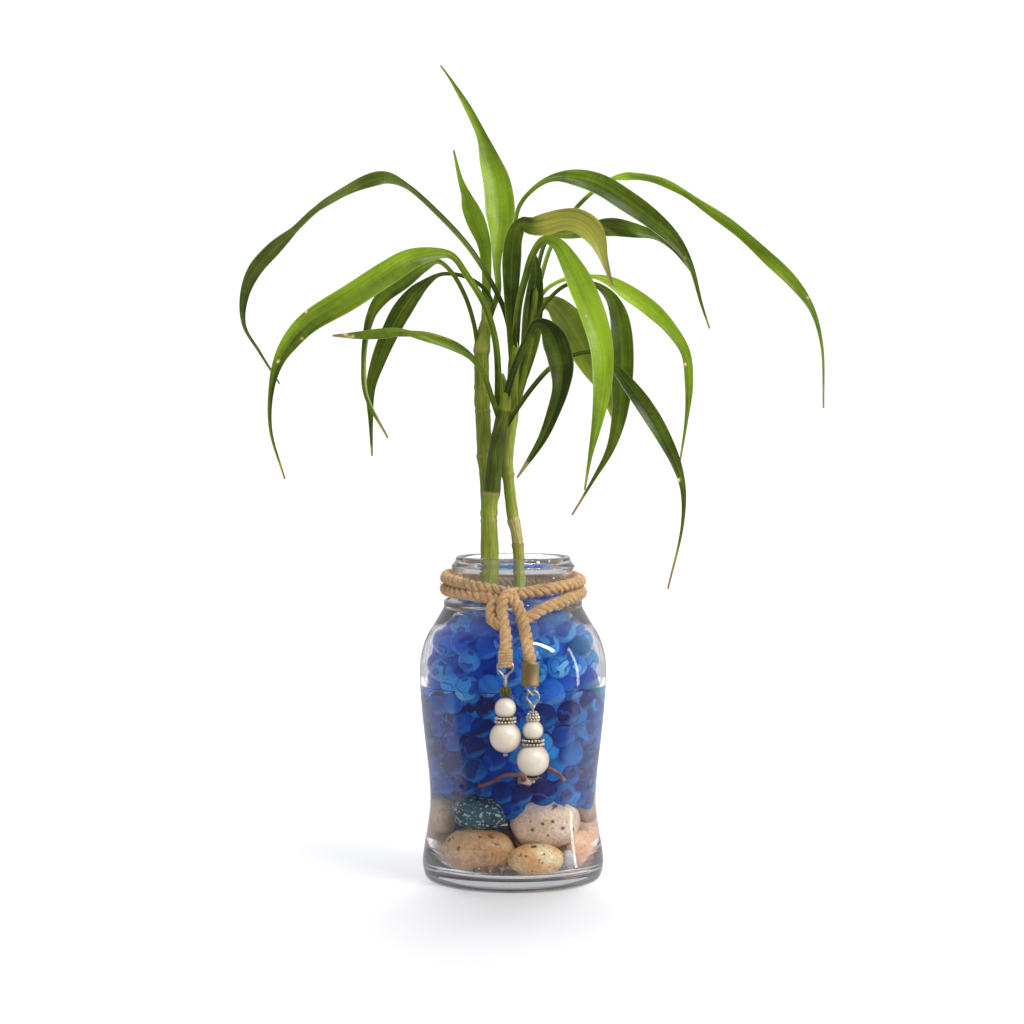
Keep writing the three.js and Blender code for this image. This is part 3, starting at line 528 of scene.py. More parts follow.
# rows: [across, up, depth, width, turn in degrees], drawn as the eye sees them
# tone: from dark 0 to bright 1, also as a list along the blade; partly the leaf's own green, partly painted
# light and shade
# tip: share that has dried, fold: painted shade that darkens the right half, pale: how much bloom
# browned: (from, to, which edge), olive: how much, from oliveFrom on
# scars: (share along, place across from -1 to 1, size, how wide it is for its length)
leaves = {
    "tallest": {"tone": [0.55, 0.62, 0.74, 0.78, 0.66, 0.46, 0.38], "tip": 0.02, "fold": 0.06, "rows": [
        [-13, 276, 8, 3], [-11, 284, 9, 3], [-7.4, 295, 10, 3], [-8, 308, 13, 4], [-7.5, 321, 16, 7.5],
        [-6.5, 329, 18, 12.5], [-6.5, 337, 20, 15], [-8, 349, 23, 13.8], [-11.5, 360, 26, 10.5],
        [-15.5, 372, 30, 5.4], [-23, 387, 33, 3.6], [-31, 400, 34, 1.5], [-36, 407, 34, 0.9],
    ]},
    "upright": {"tone": 0.82, "tip": 0.03, "fold": -0.06, "rows": [
        [-14, 274, 8, 4], [-13.4, 292, 13, 4.5], [-13.2, 306, 20, 5], [-14.5, 319, 26, 7],
        [-18.5, 330, 33, 9.5], [-21.4, 337, 37, 8.4], [-23.4, 343, 40, 5], [-26, 350, 42, 2.8],
        [-29.5, 365, 46, 0.9],
    ]},
    "slenderArch": {"tone": 0.34, "tip": 0.03, "rows": [
        [-17, 264, 6, 2.8], [-19.5, 279, 4, 2.2], [-24, 293, 1, 2.2], [-31, 305, -3, 2.2],
        [-37.5, 310, -6, 2.6], [-44.5, 307, -9, 5, 0], [-55, 299.5, -12, 7.4, 0], [-65, 292, -14, 7, 5],
        [-70.4, 284, -15, 6.4, 45], [-73.4, 272, -15, 5, 62], [-74.5, 258, -14, 3.4, 60],
        [-73.2, 243, -13, 2, 40], [-62.5, 222, -10, 0.9, 0],
    ]},
    "backHanging": {"tone": 0.23, "tip": 0.02, "fold": 0.05, "rows": [
        [-13, 276, 8, 2.6], [-10.4, 288, 9, 2], [-14, 296, 12, 2], [-24, 302.4, 17, 2],
        [-36, 303.5, 23, 2], [-43, 299.5, 27, 4.4], [-49, 294, 30, 8], [-56, 284.5, 34, 10],
        [-62, 273, 37, 9], [-67, 261, 40, 7.6], [-71, 247, 42, 5], [-71, 230, 43, 2.4],
        [-70.4, 213, 41, 0.9],
    ]},
    "broadArch": {
        "tone": [0.35, 0.42, 0.52, 0.58, 0.54, 0.46, 0.34, 0.28], "tip": 0.02, "fold": -0.12,
        "scars": [
            (0.705, -0.62, 1.5, 2.2), (0.745, -0.1, 2.4, 5.0), (0.8, 0.1, 2.2, 5.0),
            (0.6, 0.35, 0.7, 1.0), (0.52, -0.3, 0.5, 1.0), (0.66, 0.9, 1.3, 1.2),
        ],
        "rows": [
            [-7.4, 238, -9.5, 4], [-7.5, 256, -11, 3.4], [-9, 271.5, -15, 3.2], [-14, 288, -21, 3.2],
            [-23, 303, -29, 3.2], [-31, 313, -36, 3.6], [-41.5, 313.4, -41, 7], [-52, 310.6, -45, 10.4],
            [-63, 304, -48.5, 12], [-81.5, 292, -54, 12.2], [-102, 279.5, -57, 10.6],
            [-111, 270, -58, 8.6], [-117, 260, -57, 5.4], [-120.6, 246, -55, 2.8], [-121, 226, -52, 1.6],
            [-114, 201.5, -50, 0.9],
        ],
    },
    "levelLeft": {
        "tone": 0.42, "tip": 0.05, "browned": (0.4, 0.56, 1),
        "scars": [(0.955, 0.5, 1.6, 1.0), (0.93, -0.4, 1.4, 1.0)],
        "rows": [
            [-7, 232, -9, 3], [-11, 243.5, -12, 2.8], [-15, 254.6, -16, 2.8], [-21, 262.4, -18.5, 3.2],
            [-29, 267.6, -21, 5], [-40, 271.6, -24, 5.2, 0], [-51, 274, -25.5, 5, 60],
            [-58, 274.6, -26, 5, 40], [-66, 274, -27, 5.2, 0], [-77, 273.2, -28, 3.8],
            [-90, 273, -30, 0.9],
        ],
    },
    "lowRight": {
        "tone": 0.2, "tip": 0.04, "fold": 0.08,
        "scars": [(0.815, 0.8, 1.6, 1.0), (0.74, -0.8, 0.8, 1.0)],
        "rows": [
            [-3.6, 228, -8.5, 3], [2, 236.5, -10, 2.5], [10, 247.6, -14, 2.5], [19, 257.2, -18, 2.5],
            [31, 263.6, -24, 2.2], [41, 264.4, -28, 2.2], [50, 257.6, -32, 4], [61, 244.4, -36, 7.6],
            [68.6, 233.6, -38, 8.2], [75.6, 221.6, -40, 7.2], [81.6, 209, -41.5, 5], [85, 196, -42, 2.8],
            [84.6, 178, -42, 1.5], [77.5, 146.5, -41, 0.9],
        ],
    },
    "nearHanging": {"tone": 0.1, "tip": 0.03, "fold": -0.1, "rows": [
        [-5.2, 234, -9, 4], [-2.6, 246, -13, 3.6], [1.4, 258.6, -19, 3.6], [7, 271, -26, 4],
        [11.6, 279, -32, 4.6], [17, 277, -37.5, 8], [21.4, 269, -42.5, 12.8], [24.2, 258, -46.5, 12],
        [23.8, 247, -49, 8.4], [20, 234.6, -51, 6.4], [14.6, 221.6, -51, 4.4], [2, 202, -50, 0.9],
    ]},
    "farLeftArch": {"tone": [0.28, 0.3, 0.34, 0.3, 0.26, 0.22, 0.22], "tip": 0.02, "pale": 0.1, "rows": [
        [0.4, 266, -1, 3], [-4.4, 286, -4, 2.6], [-12, 301.6, -8, 2.6], [-22, 317, -11, 2.8],
        [-37, 333.4, -14, 2.8], [-53, 347.4, -16, 3], [-63, 351.5, -18, 6, 0],
        [-72, 349.8, -20, 7.4, 25], [-85, 344, -22, 7.5, 56], [-97.5, 336, -24, 7.5, 72],
        [-109, 325.5, -25, 7.5, 60], [-120, 315.4, -26, 7.4, 20], [-129, 305, -27, 7, 0],
        [-134, 292, -28, 4.4], [-134, 278, -28, 2], [-126.5, 265, -28, 1.4], [-116.5, 249, -28, 0.9],
    ]},
    "foldedMiddle": {"tone": 0.22, "tip": 0.06, "olive": 0.75, "oliveFrom": 0.42, "rows": [
        [0, 262, -2, 4.4], [-1, 284, -8, 5.6], [-0.9, 298.5, -13, 8], [-0.6, 311, -17, 9.4],
        [0.6, 322, -20, 8.4], [4, 328.4, -22, 7], [10, 327.4, -24, 9], [17, 328.6, -26, 11],
        [24, 330.6, -28, 10.4], [31, 330.4, -31, 11.6], [37.4, 327, -33, 12], [42, 320.6, -35, 9],
        [45, 312, -36.5, 4.4], [49.5, 298, -38, 0.9],
    ]},
    "brightFront": {
        "tone": [0.35, 0.4, 0.5, 0.62, 0.8, 0.92, 0.84, 0.62, 0.5], "tip": 0.03, "fold": 0.1,
        "scars": [(0.6, 0.55, 0.9, 1.0), (0.72, 0.6, 0.7, 1.0)],
        "rows": [
            [1, 268, -2, 4.2], [3, 289, -11, 3.5], [6.4, 302.6, -20, 3.5], [9.6, 313, -28.5, 3.5],
            [15, 320.4, -36.5, 4], [21.6, 319, -43, 6], [28, 310, -50, 9.4], [34.4, 297, -56.5, 12.4],
            [40.6, 281.4, -63, 12.2], [44.4, 266, -67, 11], [44.6, 249, -70, 9.2], [42.4, 232, -72, 5.8],
            [38.6, 213, -72, 2.2], [35.8, 196, -71, 0.9],
        ],
    },
    "upperRight": {
        "tone": [0.4, 0.42, 0.46, 0.4, 0.32, 0.26, 0.24, 0.22], "tip": 0.03, "fold": 0.06,
        "scars": [(0.8, 0.55, 1.5, 2.0), (0.83, 0.2, 1.0, 2.5)],
        "rows": [
            [0.6, 268, -0.5, 3], [0, 296, 2, 2.4], [0.4, 320, 3, 2.2], [3, 337, 4, 2.2],
            [11, 346.6, 6, 2.4], [20, 351.4, 9, 3.8], [31, 351.6, 13, 8.2], [43, 348.2, 17, 10.6],
            [56, 340.4, 21, 11], [70, 330.4, 25, 9.6], [80.6, 320.4, 27, 6.8], [88, 309, 28, 3.2],
            [94, 288.5, 28, 1.5], [98, 276.5, 28, 0.9],
        ],
    },
    "behindLevel": {"tone": 0.26, "tip": 0.04, "fold": 0.05, "rows": [
        [11, 292, 3, 2.6], [13.6, 312, 8, 2.2], [18, 321.8, 12, 2.4], [28.5, 323.6, 19, 5],
        [38.5, 325.6, 25, 7.6], [49, 327, 31, 9.4], [60, 325.4, 36, 7.6], [71, 322.6, 40, 4],
        [80, 316, 42, 2.2], [91, 302, 44, 0.9],
    ]},
    "farRightArch": {
        "tone": [0.5, 0.6, 0.76, 0.88, 0.82, 0.68, 0.55, 0.45], "tip": 0.02, "fold": 0.08,
        "scars": [(0.83, -0.6, 1.2, 1.5)],
        "rows": [
            [10.6, 288, 3, 2.6], [18, 315, 12, 2.2], [26, 329.6, 21, 2.2], [38, 343, 31, 2.2],
            [50, 351, 38.5, 2.4], [60, 352.2, 44, 5.6, 50], [72, 350.2, 50, 6, 50],
            [84, 344.6, 54, 6, 56], [96, 336.5, 58, 6.4, 48], [111, 326, 61, 7, 40],
            [126, 312.5, 63, 7, 22], [140, 299, 63, 6, 0], [149, 286, 61, 3.2], [154, 268, 59, 1.6],
            [155, 237, 56, 0.9],
        ],
    },
    "midRight": {
        "tone": [0.55, 0.8, 1.0, 1.0, 0.8, 0.62, 0.62], "tip": 0.03, "fold": 0.12,
        "scars": [(0.76, 0.6, 1.2, 2.0)],
        "rows": [
            [10, 282, 2.6, 2.6], [15.6, 295, 8, 2], [27, 301.4, 16, 2], [40, 302.4, 24, 2.2],
            [48, 300.2, 27, 5], [57, 294.6, 30, 8], [68.6, 286.4, 33, 8.4], [78.6, 276.4, 34.5, 6.6],
            [86, 264.6, 36, 5], [87.8, 248, 35, 4.2], [86.4, 230, 34, 1.8], [83, 208, 32, 0.9],
        ],
    },
    "shadedHanging": {"tone": 0.23, "tip": 0.04, "fold": 0.04, "rows": [
        [9, 272, 1, 2.6], [15.6, 288, -2, 2], [27, 298.4, -7, 2], [40, 298.8, -11.5, 2.4],
        [48, 293, -14.6, 5.4], [52.6, 283.4, -17, 9], [54.5, 268, -19, 11], [54.4, 251, -19, 10.6],
        [53, 233, -19, 7.6], [48.6, 216.6, -17, 4.2], [40, 201, -14, 1.8], [29.5, 183.5, -12, 0.9],
    ]},
    "broadOlive": {"tone": 0.36, "tip": 0.04, "olive": 0.1, "oliveFrom": 0.1, "rows": [
        [8.6, 276, 2, 3], [13, 288, 7, 4], [19.5, 288.6, 13, 9], [27, 281, 21, 15], [34, 270, 28, 17],
        [40, 258.6, 33, 14], [45.6, 247, 37, 7.6], [50, 231, 38, 0.9],
    ]},
    "darkUpright": {"tone": 0.16, "tip": 0.03, "fold": -0.06, "rows": [
        [0, 238, 0, 4], [3.2, 247, -1, 4.4], [6.6, 259, -1, 6.4], [8.8, 272, 0, 9.6], [9.8, 284, 1, 10],
        [11, 296, 2.6, 8.4], [11.4, 306, 3.6, 5.4], [10, 316, 4, 0.9],
    ]},
}


def carried(row):
    across, up, depth = row[:3]
    eye = np.array(view["eye"], float)
    drawn = np.array([across, 0.0, up])
    return eye + (drawn - eye) * (1 + depth / -eye[1])


def bladeSection(width, along, seed, spread):
    grain = leafGrain
    broad = smoothStep(width, 2.2, 6)
    middle = min(width, 2.0) * (1 - broad) + (grain["thickness"] + grain["ribExtra"]) * broad
    edge = min(width, 1.3) * (1 - broad) + grain["thickness"] * broad
    thick = edge + (middle - edge) * np.exp(-(spread / 0.14) ** 2)
    wave = np.sin(along * 0.16 + seed + 1.3 * np.sign(spread))
    flutter = grain["waves"] * width * broad * np.abs(spread) ** 2 * wave
    valley = -grain["sink"] * width * (1 - np.abs(spread) ** 1.25)
    pleats = grain["pleat"] * broad * np.cos(np.pi * 2 * grain["pleats"] * spread)
    height = valley + flutter
    return height + thick / 2 + pleats, height - thick / 2


def bladeMarksAndShade(leaf, share, length, width, across):
    tone = between(leaf["tone"], share) if isinstance(leaf["tone"], list) else leaf["tone"]
    # painted shade: one half of the blade is darker, as light falls on its fold
    tone = tone - leaf.get("fold", 0) * np.tanh(6 * across) - 0.1 * smoothStep(share, 0.35, 0.02)
    dry = smoothStep(share, 1 - 1.8 * leaf["tip"], 1 - 0.2 * leaf["tip"]) * np.ones(len(across))
    dry += 0.1 * smoothStep(share, 0.7, 1) * np.abs(across) ** 6
    if "browned" in leaf:
        start, end, hand = leaf["browned"]
        band = smoothStep(share, start, start + 0.04) * (1 - smoothStep(share, end - 0.04, end))
        dry += 0.8 * band * np.clip(hand * across - 0.25, 0, 1)
    scar = np.zeros(len(across))
    for spotAlong, spotAcross, size, stretch in leaf.get("scars", ()):
        aside = (across - spotAcross) * width / 2
        rise = (share - spotAlong) * length + 0.35 * (across - spotAcross) * width / 2
        scar = np.maximum(scar, np.exp(-(np.hypot(rise * stretch, aside) / size) ** 2 * 1.2))
    oliveFrom = leaf.get("oliveFrom", 0)
    olive = leaf.get("olive", 0) * smoothStep(share, oliveFrom, oliveFrom + 0.12)
    return {
        "along": share, "across": across, "aside": across * width / 2, "tone": tone, "scar": scar,
        "dry": np.clip(dry, 0, 1), "olive": olive,
    }


def makeLeaf(name):
    leaf, grain = leaves[name], leafGrain
    rows = leaf["rows"]
    line = lineThrough([carried(row) for row in rows])
    widths = [row[3] for row in rows]
    turns = [row[4] if len(row) > 4 else 0 for row in rows]
    reach = measured(line, 200)[1]
    length = reach[-1]
    count = int(length / grain["stationGap"])
    eye = np.array(view["eye"], float)
    even = np.linspace(-1, 1, grain["columns"] + 1)
    spread = 0.55 * np.sin(np.linspace(-np.pi / 2, np.pi / 2, grain["columns"] + 1)) + 0.45 * even
    across = np.concatenate([spread, spread[::-1]])
    seed = sum(ord(letter) for letter in name)
    rings, kept = [], {}
    for i in range(count + 1):
        share = shareAt(reach, i, count)
        centre, heading = line(share), headingOf(line, share)
        sight = (eye - centre) / np.linalg.norm(eye - centre)
        side = np.cross(heading, sight)
        side /= np.linalg.norm(side)
        face = np.cross(side, heading)
        turn = math.radians(between(turns, share))
        side, face = (v * math.cos(turn) + np.cross(heading, v) * math.sin(turn) for v in (side, face))
        width = max(easedBetween(widths, share), grain["narrowest"])
        top, under = bladeSection(width, length * share, seed, spread)
        middle = centre + np.outer(spread * width / 2, side)
        rings.append(np.concatenate([middle + np.outer(top, face), (middle + np.outer(under, face))[::-1]]))
        for key, values in bladeMarksAndShade(leaf, share, length, width, across).items():
            kept.setdefault(key, []).append(np.broadcast_to(values, len(across)))
    points, faces = skinOver(np.array(rings))
    kept = {key: np.concatenate(values) for key, values in kept.items()}
    return points, faces, {**kept, "reach": length, "seed": float(seed % 97), "pale": leaf.get("pale", 0.0)}


def leafFinish():
    leafSkin, skin = newFinish("leafSkin", Roughness=0.36, Specular_IOR_Level=0.18)
    along = times(attribute("along"), attribute("reach"))
    across, aside, seed = attribute("across"), attribute("aside"), attribute("seed")

    def stretched(wide, long):
        return combined(times(aside, wide), times(along, long), seed)

    streaks = noiseAt(0.7, 1.0, stretched(1.3, 0.025))
    rungs = noiseAt(1.0, 1.0, stretched(0.22, 0.30))
    clouds = noiseAt(0.8, 1.0, stretched(0.16, 0.05))
    lightness = plus(attribute("tone"), varied(streaks, -0.08, 0.08), varied(rungs, -0.045, 0.045))
    lightness = plus(lightness, varied(clouds, -0.14, 0.14))
    green = ramp(lightness, [
        (0.0, (0.026, 0.042, 0.004)), (0.25, (0.062, 0.096, 0.006)), (0.5, (0.120, 0.185, 0.009)),
        (0.75, (0.190, 0.300, 0.012)), (1.0, (0.270, 0.410, 0.018)),
    ])
    vein = calculate("SINE", times(aside, 6.283 / leafGrain["veinGap"]))
    veined = rangeOf(vein, 0.2, 1, 0.0, 0.12)
    green = blendColours(veined, green, (0.10, 0.20, 0.02), "MULTIPLY")
    midrib = rangeOf(calculate("ABSOLUTE", aside), 0.15, 0.5, 0.14, 0.0)
    bloom = times(attribute("pale"), rangeOf(clouds, 0.3, 0.6, 0.2, 1.0))
    oliveShare = times(attribute("olive"), varied(streaks, 0.6, 1.0))
    margin = rangeOf(calculate("ABSOLUTE", across), 0.90, 0.99, 0.0, 0.45)
    speck = noiseAt(420.0, 3.0)
    dry = plus(attribute("dry"), varied(speck, -0.1, 0.1))
    scar = plus(attribute("scar"), varied(speck, -0.15, 0.15))
    for share, shade in (
        (midrib, (0.19, 0.30, 0.04)),
        (bloom, (0.30, 0.31, 0.16)),
        (oliveShare, (0.46, 0.43, 0.07)),
        (margin, (0.42, 0.44, 0.17)),
        (rangeOf(dry, 0.15, 0.55), (0.27, 0.26, 0.05)),
        (rangeOf(dry, 0.5, 1.0), (0.25, 0.17, 0.075)),
        (rangeOf(scar, 0.25, 0.6), (0.30, 0.24, 0.07)),
        (rangeOf(scar, 0.5, 0.85), (0.62, 0.54, 0.34)),
    ):
        green = blendColours(share, green, shade)
    paint(skin, green)
    fill(skin.inputs["Roughness"], rangeOf(dry, 0.2, 0.9, 0.34, 0.7))
    swell = times(noiseAt(1.6, 1.0, stretched(0.22, 0.30)), 3.0)
    roughen(skin, plus(times(vein, 0.15), swell), 0.00005, 0.6)
    return leafSkin


caneGrain = {
    "sides": 36,
    "stationGap": 0.8,
    "taper": 0.93,
    "ridge": 0.3,
    "groove": 0.16,
    "sheathStep": 0.28,
    "sheathSlant": 7,  # how much lower a sheath's edge is on one side
    "unevenness": (0.06, 0.05),  # round the cane and along it
    "footTan": (58.0, 70.0),  # heights between which the tan foot turns green
    "papery": (173.5, 187.0),  # heights of the papery ring on the right cane
}

# cane: [across, up, depth, width], rings: (height, how wide the scar is)
# sheaths: (foot, top, shade from dark 0 to bright 1), roots: [across, up, depth, width]
leafyCanes = {
    "left": {
        "leaves": ["tallest", "upright", "slenderArch", "backHanging"],
        "cane": [
            [-9, 56, 12, 7.6], [-11, 100, 11, 7.6], [-12, 140, 9, 7.6], [-12, 163, 8, 7.7],
            [-12.3, 186, 7, 7.6], [-13.2, 205, 6.5, 7.6], [-14, 212, 6.5, 8.2], [-14.4, 219, 6.5, 7.6],
            [-15.2, 236, 6.5, 7.6], [-15.4, 240, 6.5, 8], [-15.5, 247, 6.5, 7.6], [-15.7, 262, 6.5, 7.4],
            [-15.6, 266, 6.5, 8], [-14.8, 272, 7, 6.6], [-13.6, 284, 9, 6],
        ],
        "rings": [(213, 0.5), (235.4, 0.5), (247.6, 0.5), (265.4, 1.4)],
        "sheaths": [(265.6, 292, 0.7)],
        "shade": 0.5,
        "roots": [
            [[-9, 58, 12, 2.4], [-18, 55, 21, 2], [-27, 55, 22, 1.7]],
            [[-10.6, 92, 11, 2.4], [-22, 95, -2, 2], [-32, 98, -15, 1.8], [-34, 99, -20, 1.6]],
        ],
    },
    "front": {
        "leaves": ["broadArch", "levelLeft", "lowRight", "nearHanging"],
        "cane": [
            [-10, 54, 0, 8.6], [-11.5, 100, -4, 9], [-12, 140, -7, 9.2], [-11.6, 163, -8, 9.2],
            [-12, 181, -8, 8], [-12, 185, -8, 8.6], [-11.2, 190, -8, 7.2], [-10.6, 194.5, -8, 8],
            [-9.6, 205, -8, 7.4], [-8, 218, -8, 7], [-5.6, 230, -8.5, 6.6], [-4, 240, -9.5, 5.6],
            [-5.5, 254, -10.5, 4.4],
        ],
        "rings": [(181, 1.0), (194.4, 1.3)],
        "sheaths": [(194.8, 238, 0.16), (236, 262, 0.45)],
        "shade": 0.66,
        "roots": [
            [[-10, 56, 0, 2.4], [-20, 55, -8, 2.2], [-29, 58, -15, 2], [-33, 61, -16, 1.8]],
            [[-10, 56, 0, 2.4], [0, 58, 9, 2], [7, 56, 23, 1.8], [12, 60, 33, 1.6]],
        ],
    },
    "right": {
        "leaves": [
            "farLeftArch", "foldedMiddle", "brightFront", "upperRight", "behindLevel", "farRightArch",
            "midRight", "shadedHanging", "broadOlive", "darkUpright",
        ],
        "cane": [
            [5.5, 52, -26, 7], [4.5, 100, -15, 6.6], [3.4, 140, -5, 6.2], [2.9, 163, -1, 5.8],
            [1.4, 176, 0.5, 5.6], [0.4, 180, 1, 6.2], [-0.6, 186, 1.2, 5.8], [-2.2, 200, 1.6, 5.6],
            [-2.6, 204, 1.6, 6.2], [-2.8, 210, 1.6, 5.6], [-1.8, 222, 1.2, 5.8], [-0.2, 234, 0.8, 6],
            [0, 248, 0, 5.6], [0.6, 262, -1, 5], [1, 276, -2, 4.4],
        ],
        "shoot": [
            [0, 234, 0.8, 5], [3.4, 247, 0.8, 5], [6.6, 259, 1.2, 4.8], [8.6, 272, 2, 4.6],
            [10.2, 286, 2.6, 4], [11.2, 297, 3, 3],
        ],
        "rings": [(168.6, 1.6), (180.4, 1.3), (203.6, 0.8), (236, 0.6)],
        "sheaths": [(236.4, 268, 0.36)],
        "shade": 0.68,
        "roots": [
            [
                [5.5, 54, -26, 2.6], [3, 58, -33.5, 2.2], [-3, 58, -35, 2.2], [-9, 54.5, -34.6, 2],
                [-16, 52, -31.5, 2],
            ],
            [[5.5, 55, -26, 2.6], [13, 62, -31, 2.2], [19, 60, -30.5, 2], [24, 54, -27, 1.8]],
            [[5.5, 54, -26, 2.4], [18, 56, -16, 2.2], [28, 58, -17, 2], [32, 57, -17, 2]],
        ],
    },
}


def makeCane(route, marks):
    grain = caneGrain
    line = lineThrough([place(row) for row in route])
    reach = measured(line, 300)[1]
    count = int(reach[-1] / grain["stationGap"])
    turn = turnsOf(grain["sides"])
    rings, kept = [], {"ringed": [], "shade": [], "round": [], "high": []}
    for i in range(count + 1):
        share = shareAt(reach, i, count)
        centre, heading = line(share), headingOf(line, share)
        right = np.cross(heading, [1.0, 0, 0])
        right /= np.linalg.norm(right)
        up = np.cross(heading, right)
        radius = easedBetween([row[3] for row in route], share) / 2
        radius *= math.sqrt(max(1 - smoothStep(share, grain["taper"], 1.02), 0.02))
        scar, shade = 0.0, marks["shade"]
        radii = np.full(grain["sides"], radius)
        for height, width in marks["rings"]:
            off = centre[2] - height
            groove = grain["groove"] * math.exp(-((off - 1.5) / 0.6) ** 2)
            radii += grain["ridge"] * math.exp(-(off / 0.9) ** 2) - groove
            scar = max(scar, math.exp(-(off / (0.55 * width)) ** 2))
        for foot, top, tint in marks["sheaths"]:
            edge = top - grain["sheathSlant"] * (1 + np.cos(turn - 0.7)) / 2
            inside = np.clip((centre[2] - foot) / 1.2, 0, 1) * np.clip((edge - centre[2]) / 0.8, 0, 1)
            radii += grain["sheathStep"] * inside
            if foot < centre[2] < top:
                shade = tint
        ribs, waves = np.sin(turn * 9 + centre[2] * 0.05), np.sin(centre[2] * 0.7 + 2 * turn)
        radii += grain["unevenness"][0] * ribs + grain["unevenness"][1] * waves
        spokes = np.outer(np.cos(turn), right) + np.outer(np.sin(turn), up)
        rings.append(centre + spokes * radii[:, None])
        # painted shade: each cane is darker on one side, by up to 0.16
        for key, value in zip(kept, (scar, shade - 0.16 * np.cos(turn - 0.4), turn, centre[2])):
            kept[key].append(np.broadcast_to(value, len(turn)))
    points, faces = skinOver(np.array(rings))
    return points, faces, {key: np.concatenate(values) for key, values in kept.items()}


def caneFinish():
    caneSkin, skin = newFinish("caneSkin", Roughness=0.34, Specular_IOR_Level=0.25)
    around, high = attribute("round"), attribute("high")
    aside = times(calculate("SINE", around), 4.0)
    behind = times(calculate("COSINE", around), 4.0)
    streaks = noiseAt(1.6, 5.0, combined(aside, behind, times(high, 0.06)))
    patches = noiseAt(60.0, 3.0)
    light = plus(attribute("shade"), varied(streaks, -0.2, 0.2), varied(patches, -0.12, 0.12))
    base = ramp(light, [
        (0.0, (0.022, 0.038, 0.005)), (0.3, (0.062, 0.085, 0.007)), (0.6, (0.155, 0.195, 0.015)),
        (0.85, (0.240, 0.275, 0.035)), (1.0, (0.360, 0.380, 0.080)),
    ])
    torn = times(attribute("ringed"), rangeOf(noiseAt(500.0, 3.0), 0.35, 0.6, 0.35, 1.1))
    low, top = caneGrain["papery"]
    frayed = plus(high, times(patches, 9.0))
    papery = times(rangeOf(frayed, low, low + 1), rangeOf(frayed, top - 1, top, 1.0, 0.0))
    papery = times(papery, rangeOf(axisOf(0), -0.005, -0.003))
    papery = times(papery, rangeOf(streaks, 0.42, 0.55, 0.15, 0.9))
    for share, shade in (
        (torn, (0.30, 0.19, 0.075)),
        (rangeOf(high, *caneGrain["footTan"], 1.0, 0.0), (0.46, 0.29, 0.19)),
        (papery, (0.52, 0.40, 0.19)),
    ):
        base = blendColours(share, base, shade)
    paint(skin, base)
    roughen(skin, streaks, 0.0002, 0.5)
    return caneSkin


rootGrain = {"steps": 40, "sides": 12, "sway": 0.35}


def makeRoot(route, seed):
    line = lineThrough([place(row) for row in route])
    widths = [row[3] for row in route]
    points, radii = [], []
    for i in range(rootGrain["steps"] + 1):
        share = i / rootGrain["steps"]
        sway = [math.sin(9 * share + seed), math.cos(7 * share + 2 * seed), math.sin(8 * share + 3 * seed)]
        points.append(line(share) + rootGrain["sway"] * np.array(sway) * math.sin(math.pi * share))
        radii.append(between(widths, share) / 2 * (0.92 + 0.1 * math.sin(23 * share + seed)))
    return tube(points, radii, rootGrain["sides"])


def rootFinish():
    rootSkin, skin = newFinish("rootSkin", Roughness=0.5)
    tone = ramp(noiseAt(160.0, 4.0), [
        (0.3, (0.08, 0.018, 0.014)), (0.5, (0.15, 0.036, 0.024)), (0.7, (0.26, 0.10, 0.06)),
    ])
    paint(skin, tone)
    roughen(skin, noiseAt(900.0), 0.0003)
    return rootSkin


def addPlant():
    leafSkin, caneSkin, rootSkin = leafFinish(), caneFinish(), rootFinish()
    for name, cane in leafyCanes.items():
        node = f"leafy_cane_{name}"
        addPiece(f"leaves_{name}", [makeLeaf(leaf) for leaf in cane["leaves"]], leafSkin, node)
        stems = [makeCane(cane["cane"], cane)]
        if "shoot" in cane:
            stems.append(makeCane(cane["shoot"], {"rings": [], "sheaths": [], "shade": 0.3}))
        addPiece(f"cane_{name}", stems, caneSkin, node)
        strands = [makeRoot(route, i + len(name)) for i, route in enumerate(cane["roots"])]
        addPiece(f"roots_{name}", strands, rootSkin, node)
        print("leafy cane", name, "made")


addPlant()


# jar, its outlines as (from the axis, up)

jar = {
    "sides": 240,
    "foot": [(0, 2.4), (14, 2.3), (26, 1.9), (33, 1.1), (36.6, 0.25), (38.2, 0.0), (39.6, 0.0)],
    "outside": [
        [39.6, 0], [43.4, 2], [45.3, 9], [44.6, 17], [42.8, 28], [41.5, 39], [42, 52], [44, 70],
        [46.2, 92], [46.7, 104], [46, 113.5], [43.3, 122.5], [38.6, 130.5], [35.0, 136.8],
    ],
    "ridge": [[34.5, 138.2], [34.6, 139.6], [34.3, 140.9], [32.6, 142.2], [30.4, 143.2]],
    "neck": [[29.7, 144.6], [29.5, 147], [29.5, 155.2], [29.9, 156.6]],
    "thread": [[30.6, 157.3], [30.8, 158.0], [30.4, 158.9], [29.4, 159.9], [28.9, 160.8]],
    "lip": [
        [28.6, 161.8], [28.4, 162.5], [27.9, 162.9], [27.3, 163], [26.7, 162.9], [26.2, 162.5],
        [26.0, 161.8],
    ],
    "inside": [
        [26, 160], [25.8, 143], [31.4, 135.6], [39.0, 126.2], [43.0, 115.6], [44.1, 104], [43.4, 91],
        [41.3, 70], [39.2, 52], [38.6, 40], [39.8, 27], [41.0, 17], [39.2, 9.0], [33, 5.9],
    ],
    "floor": [(22, 5.6), (10, 5.4), (0, 5.3)],
    "teeth": 80,  # fine ribs round the foot
    "toothHeight": 0.22,
    "mould": (0.035, 0.02),  # how far the glass is out of round
    "mouldTo": 150,
    "footPaintedLight": 0.06,  # how much painted light makes the clear glass pale, and between what heights in metres it changes
    "footPaintedLightAt": (0.004, 0.011),
    "neckPaintedLight": 0.03,
    "neckPaintedLightAt": (0.122, 0.134),
}


def radiusInside(height):
    rows = jar["inside"][::-1]
    return np.interp(height, [row[1] for row in rows], [row[0] for row in rows])


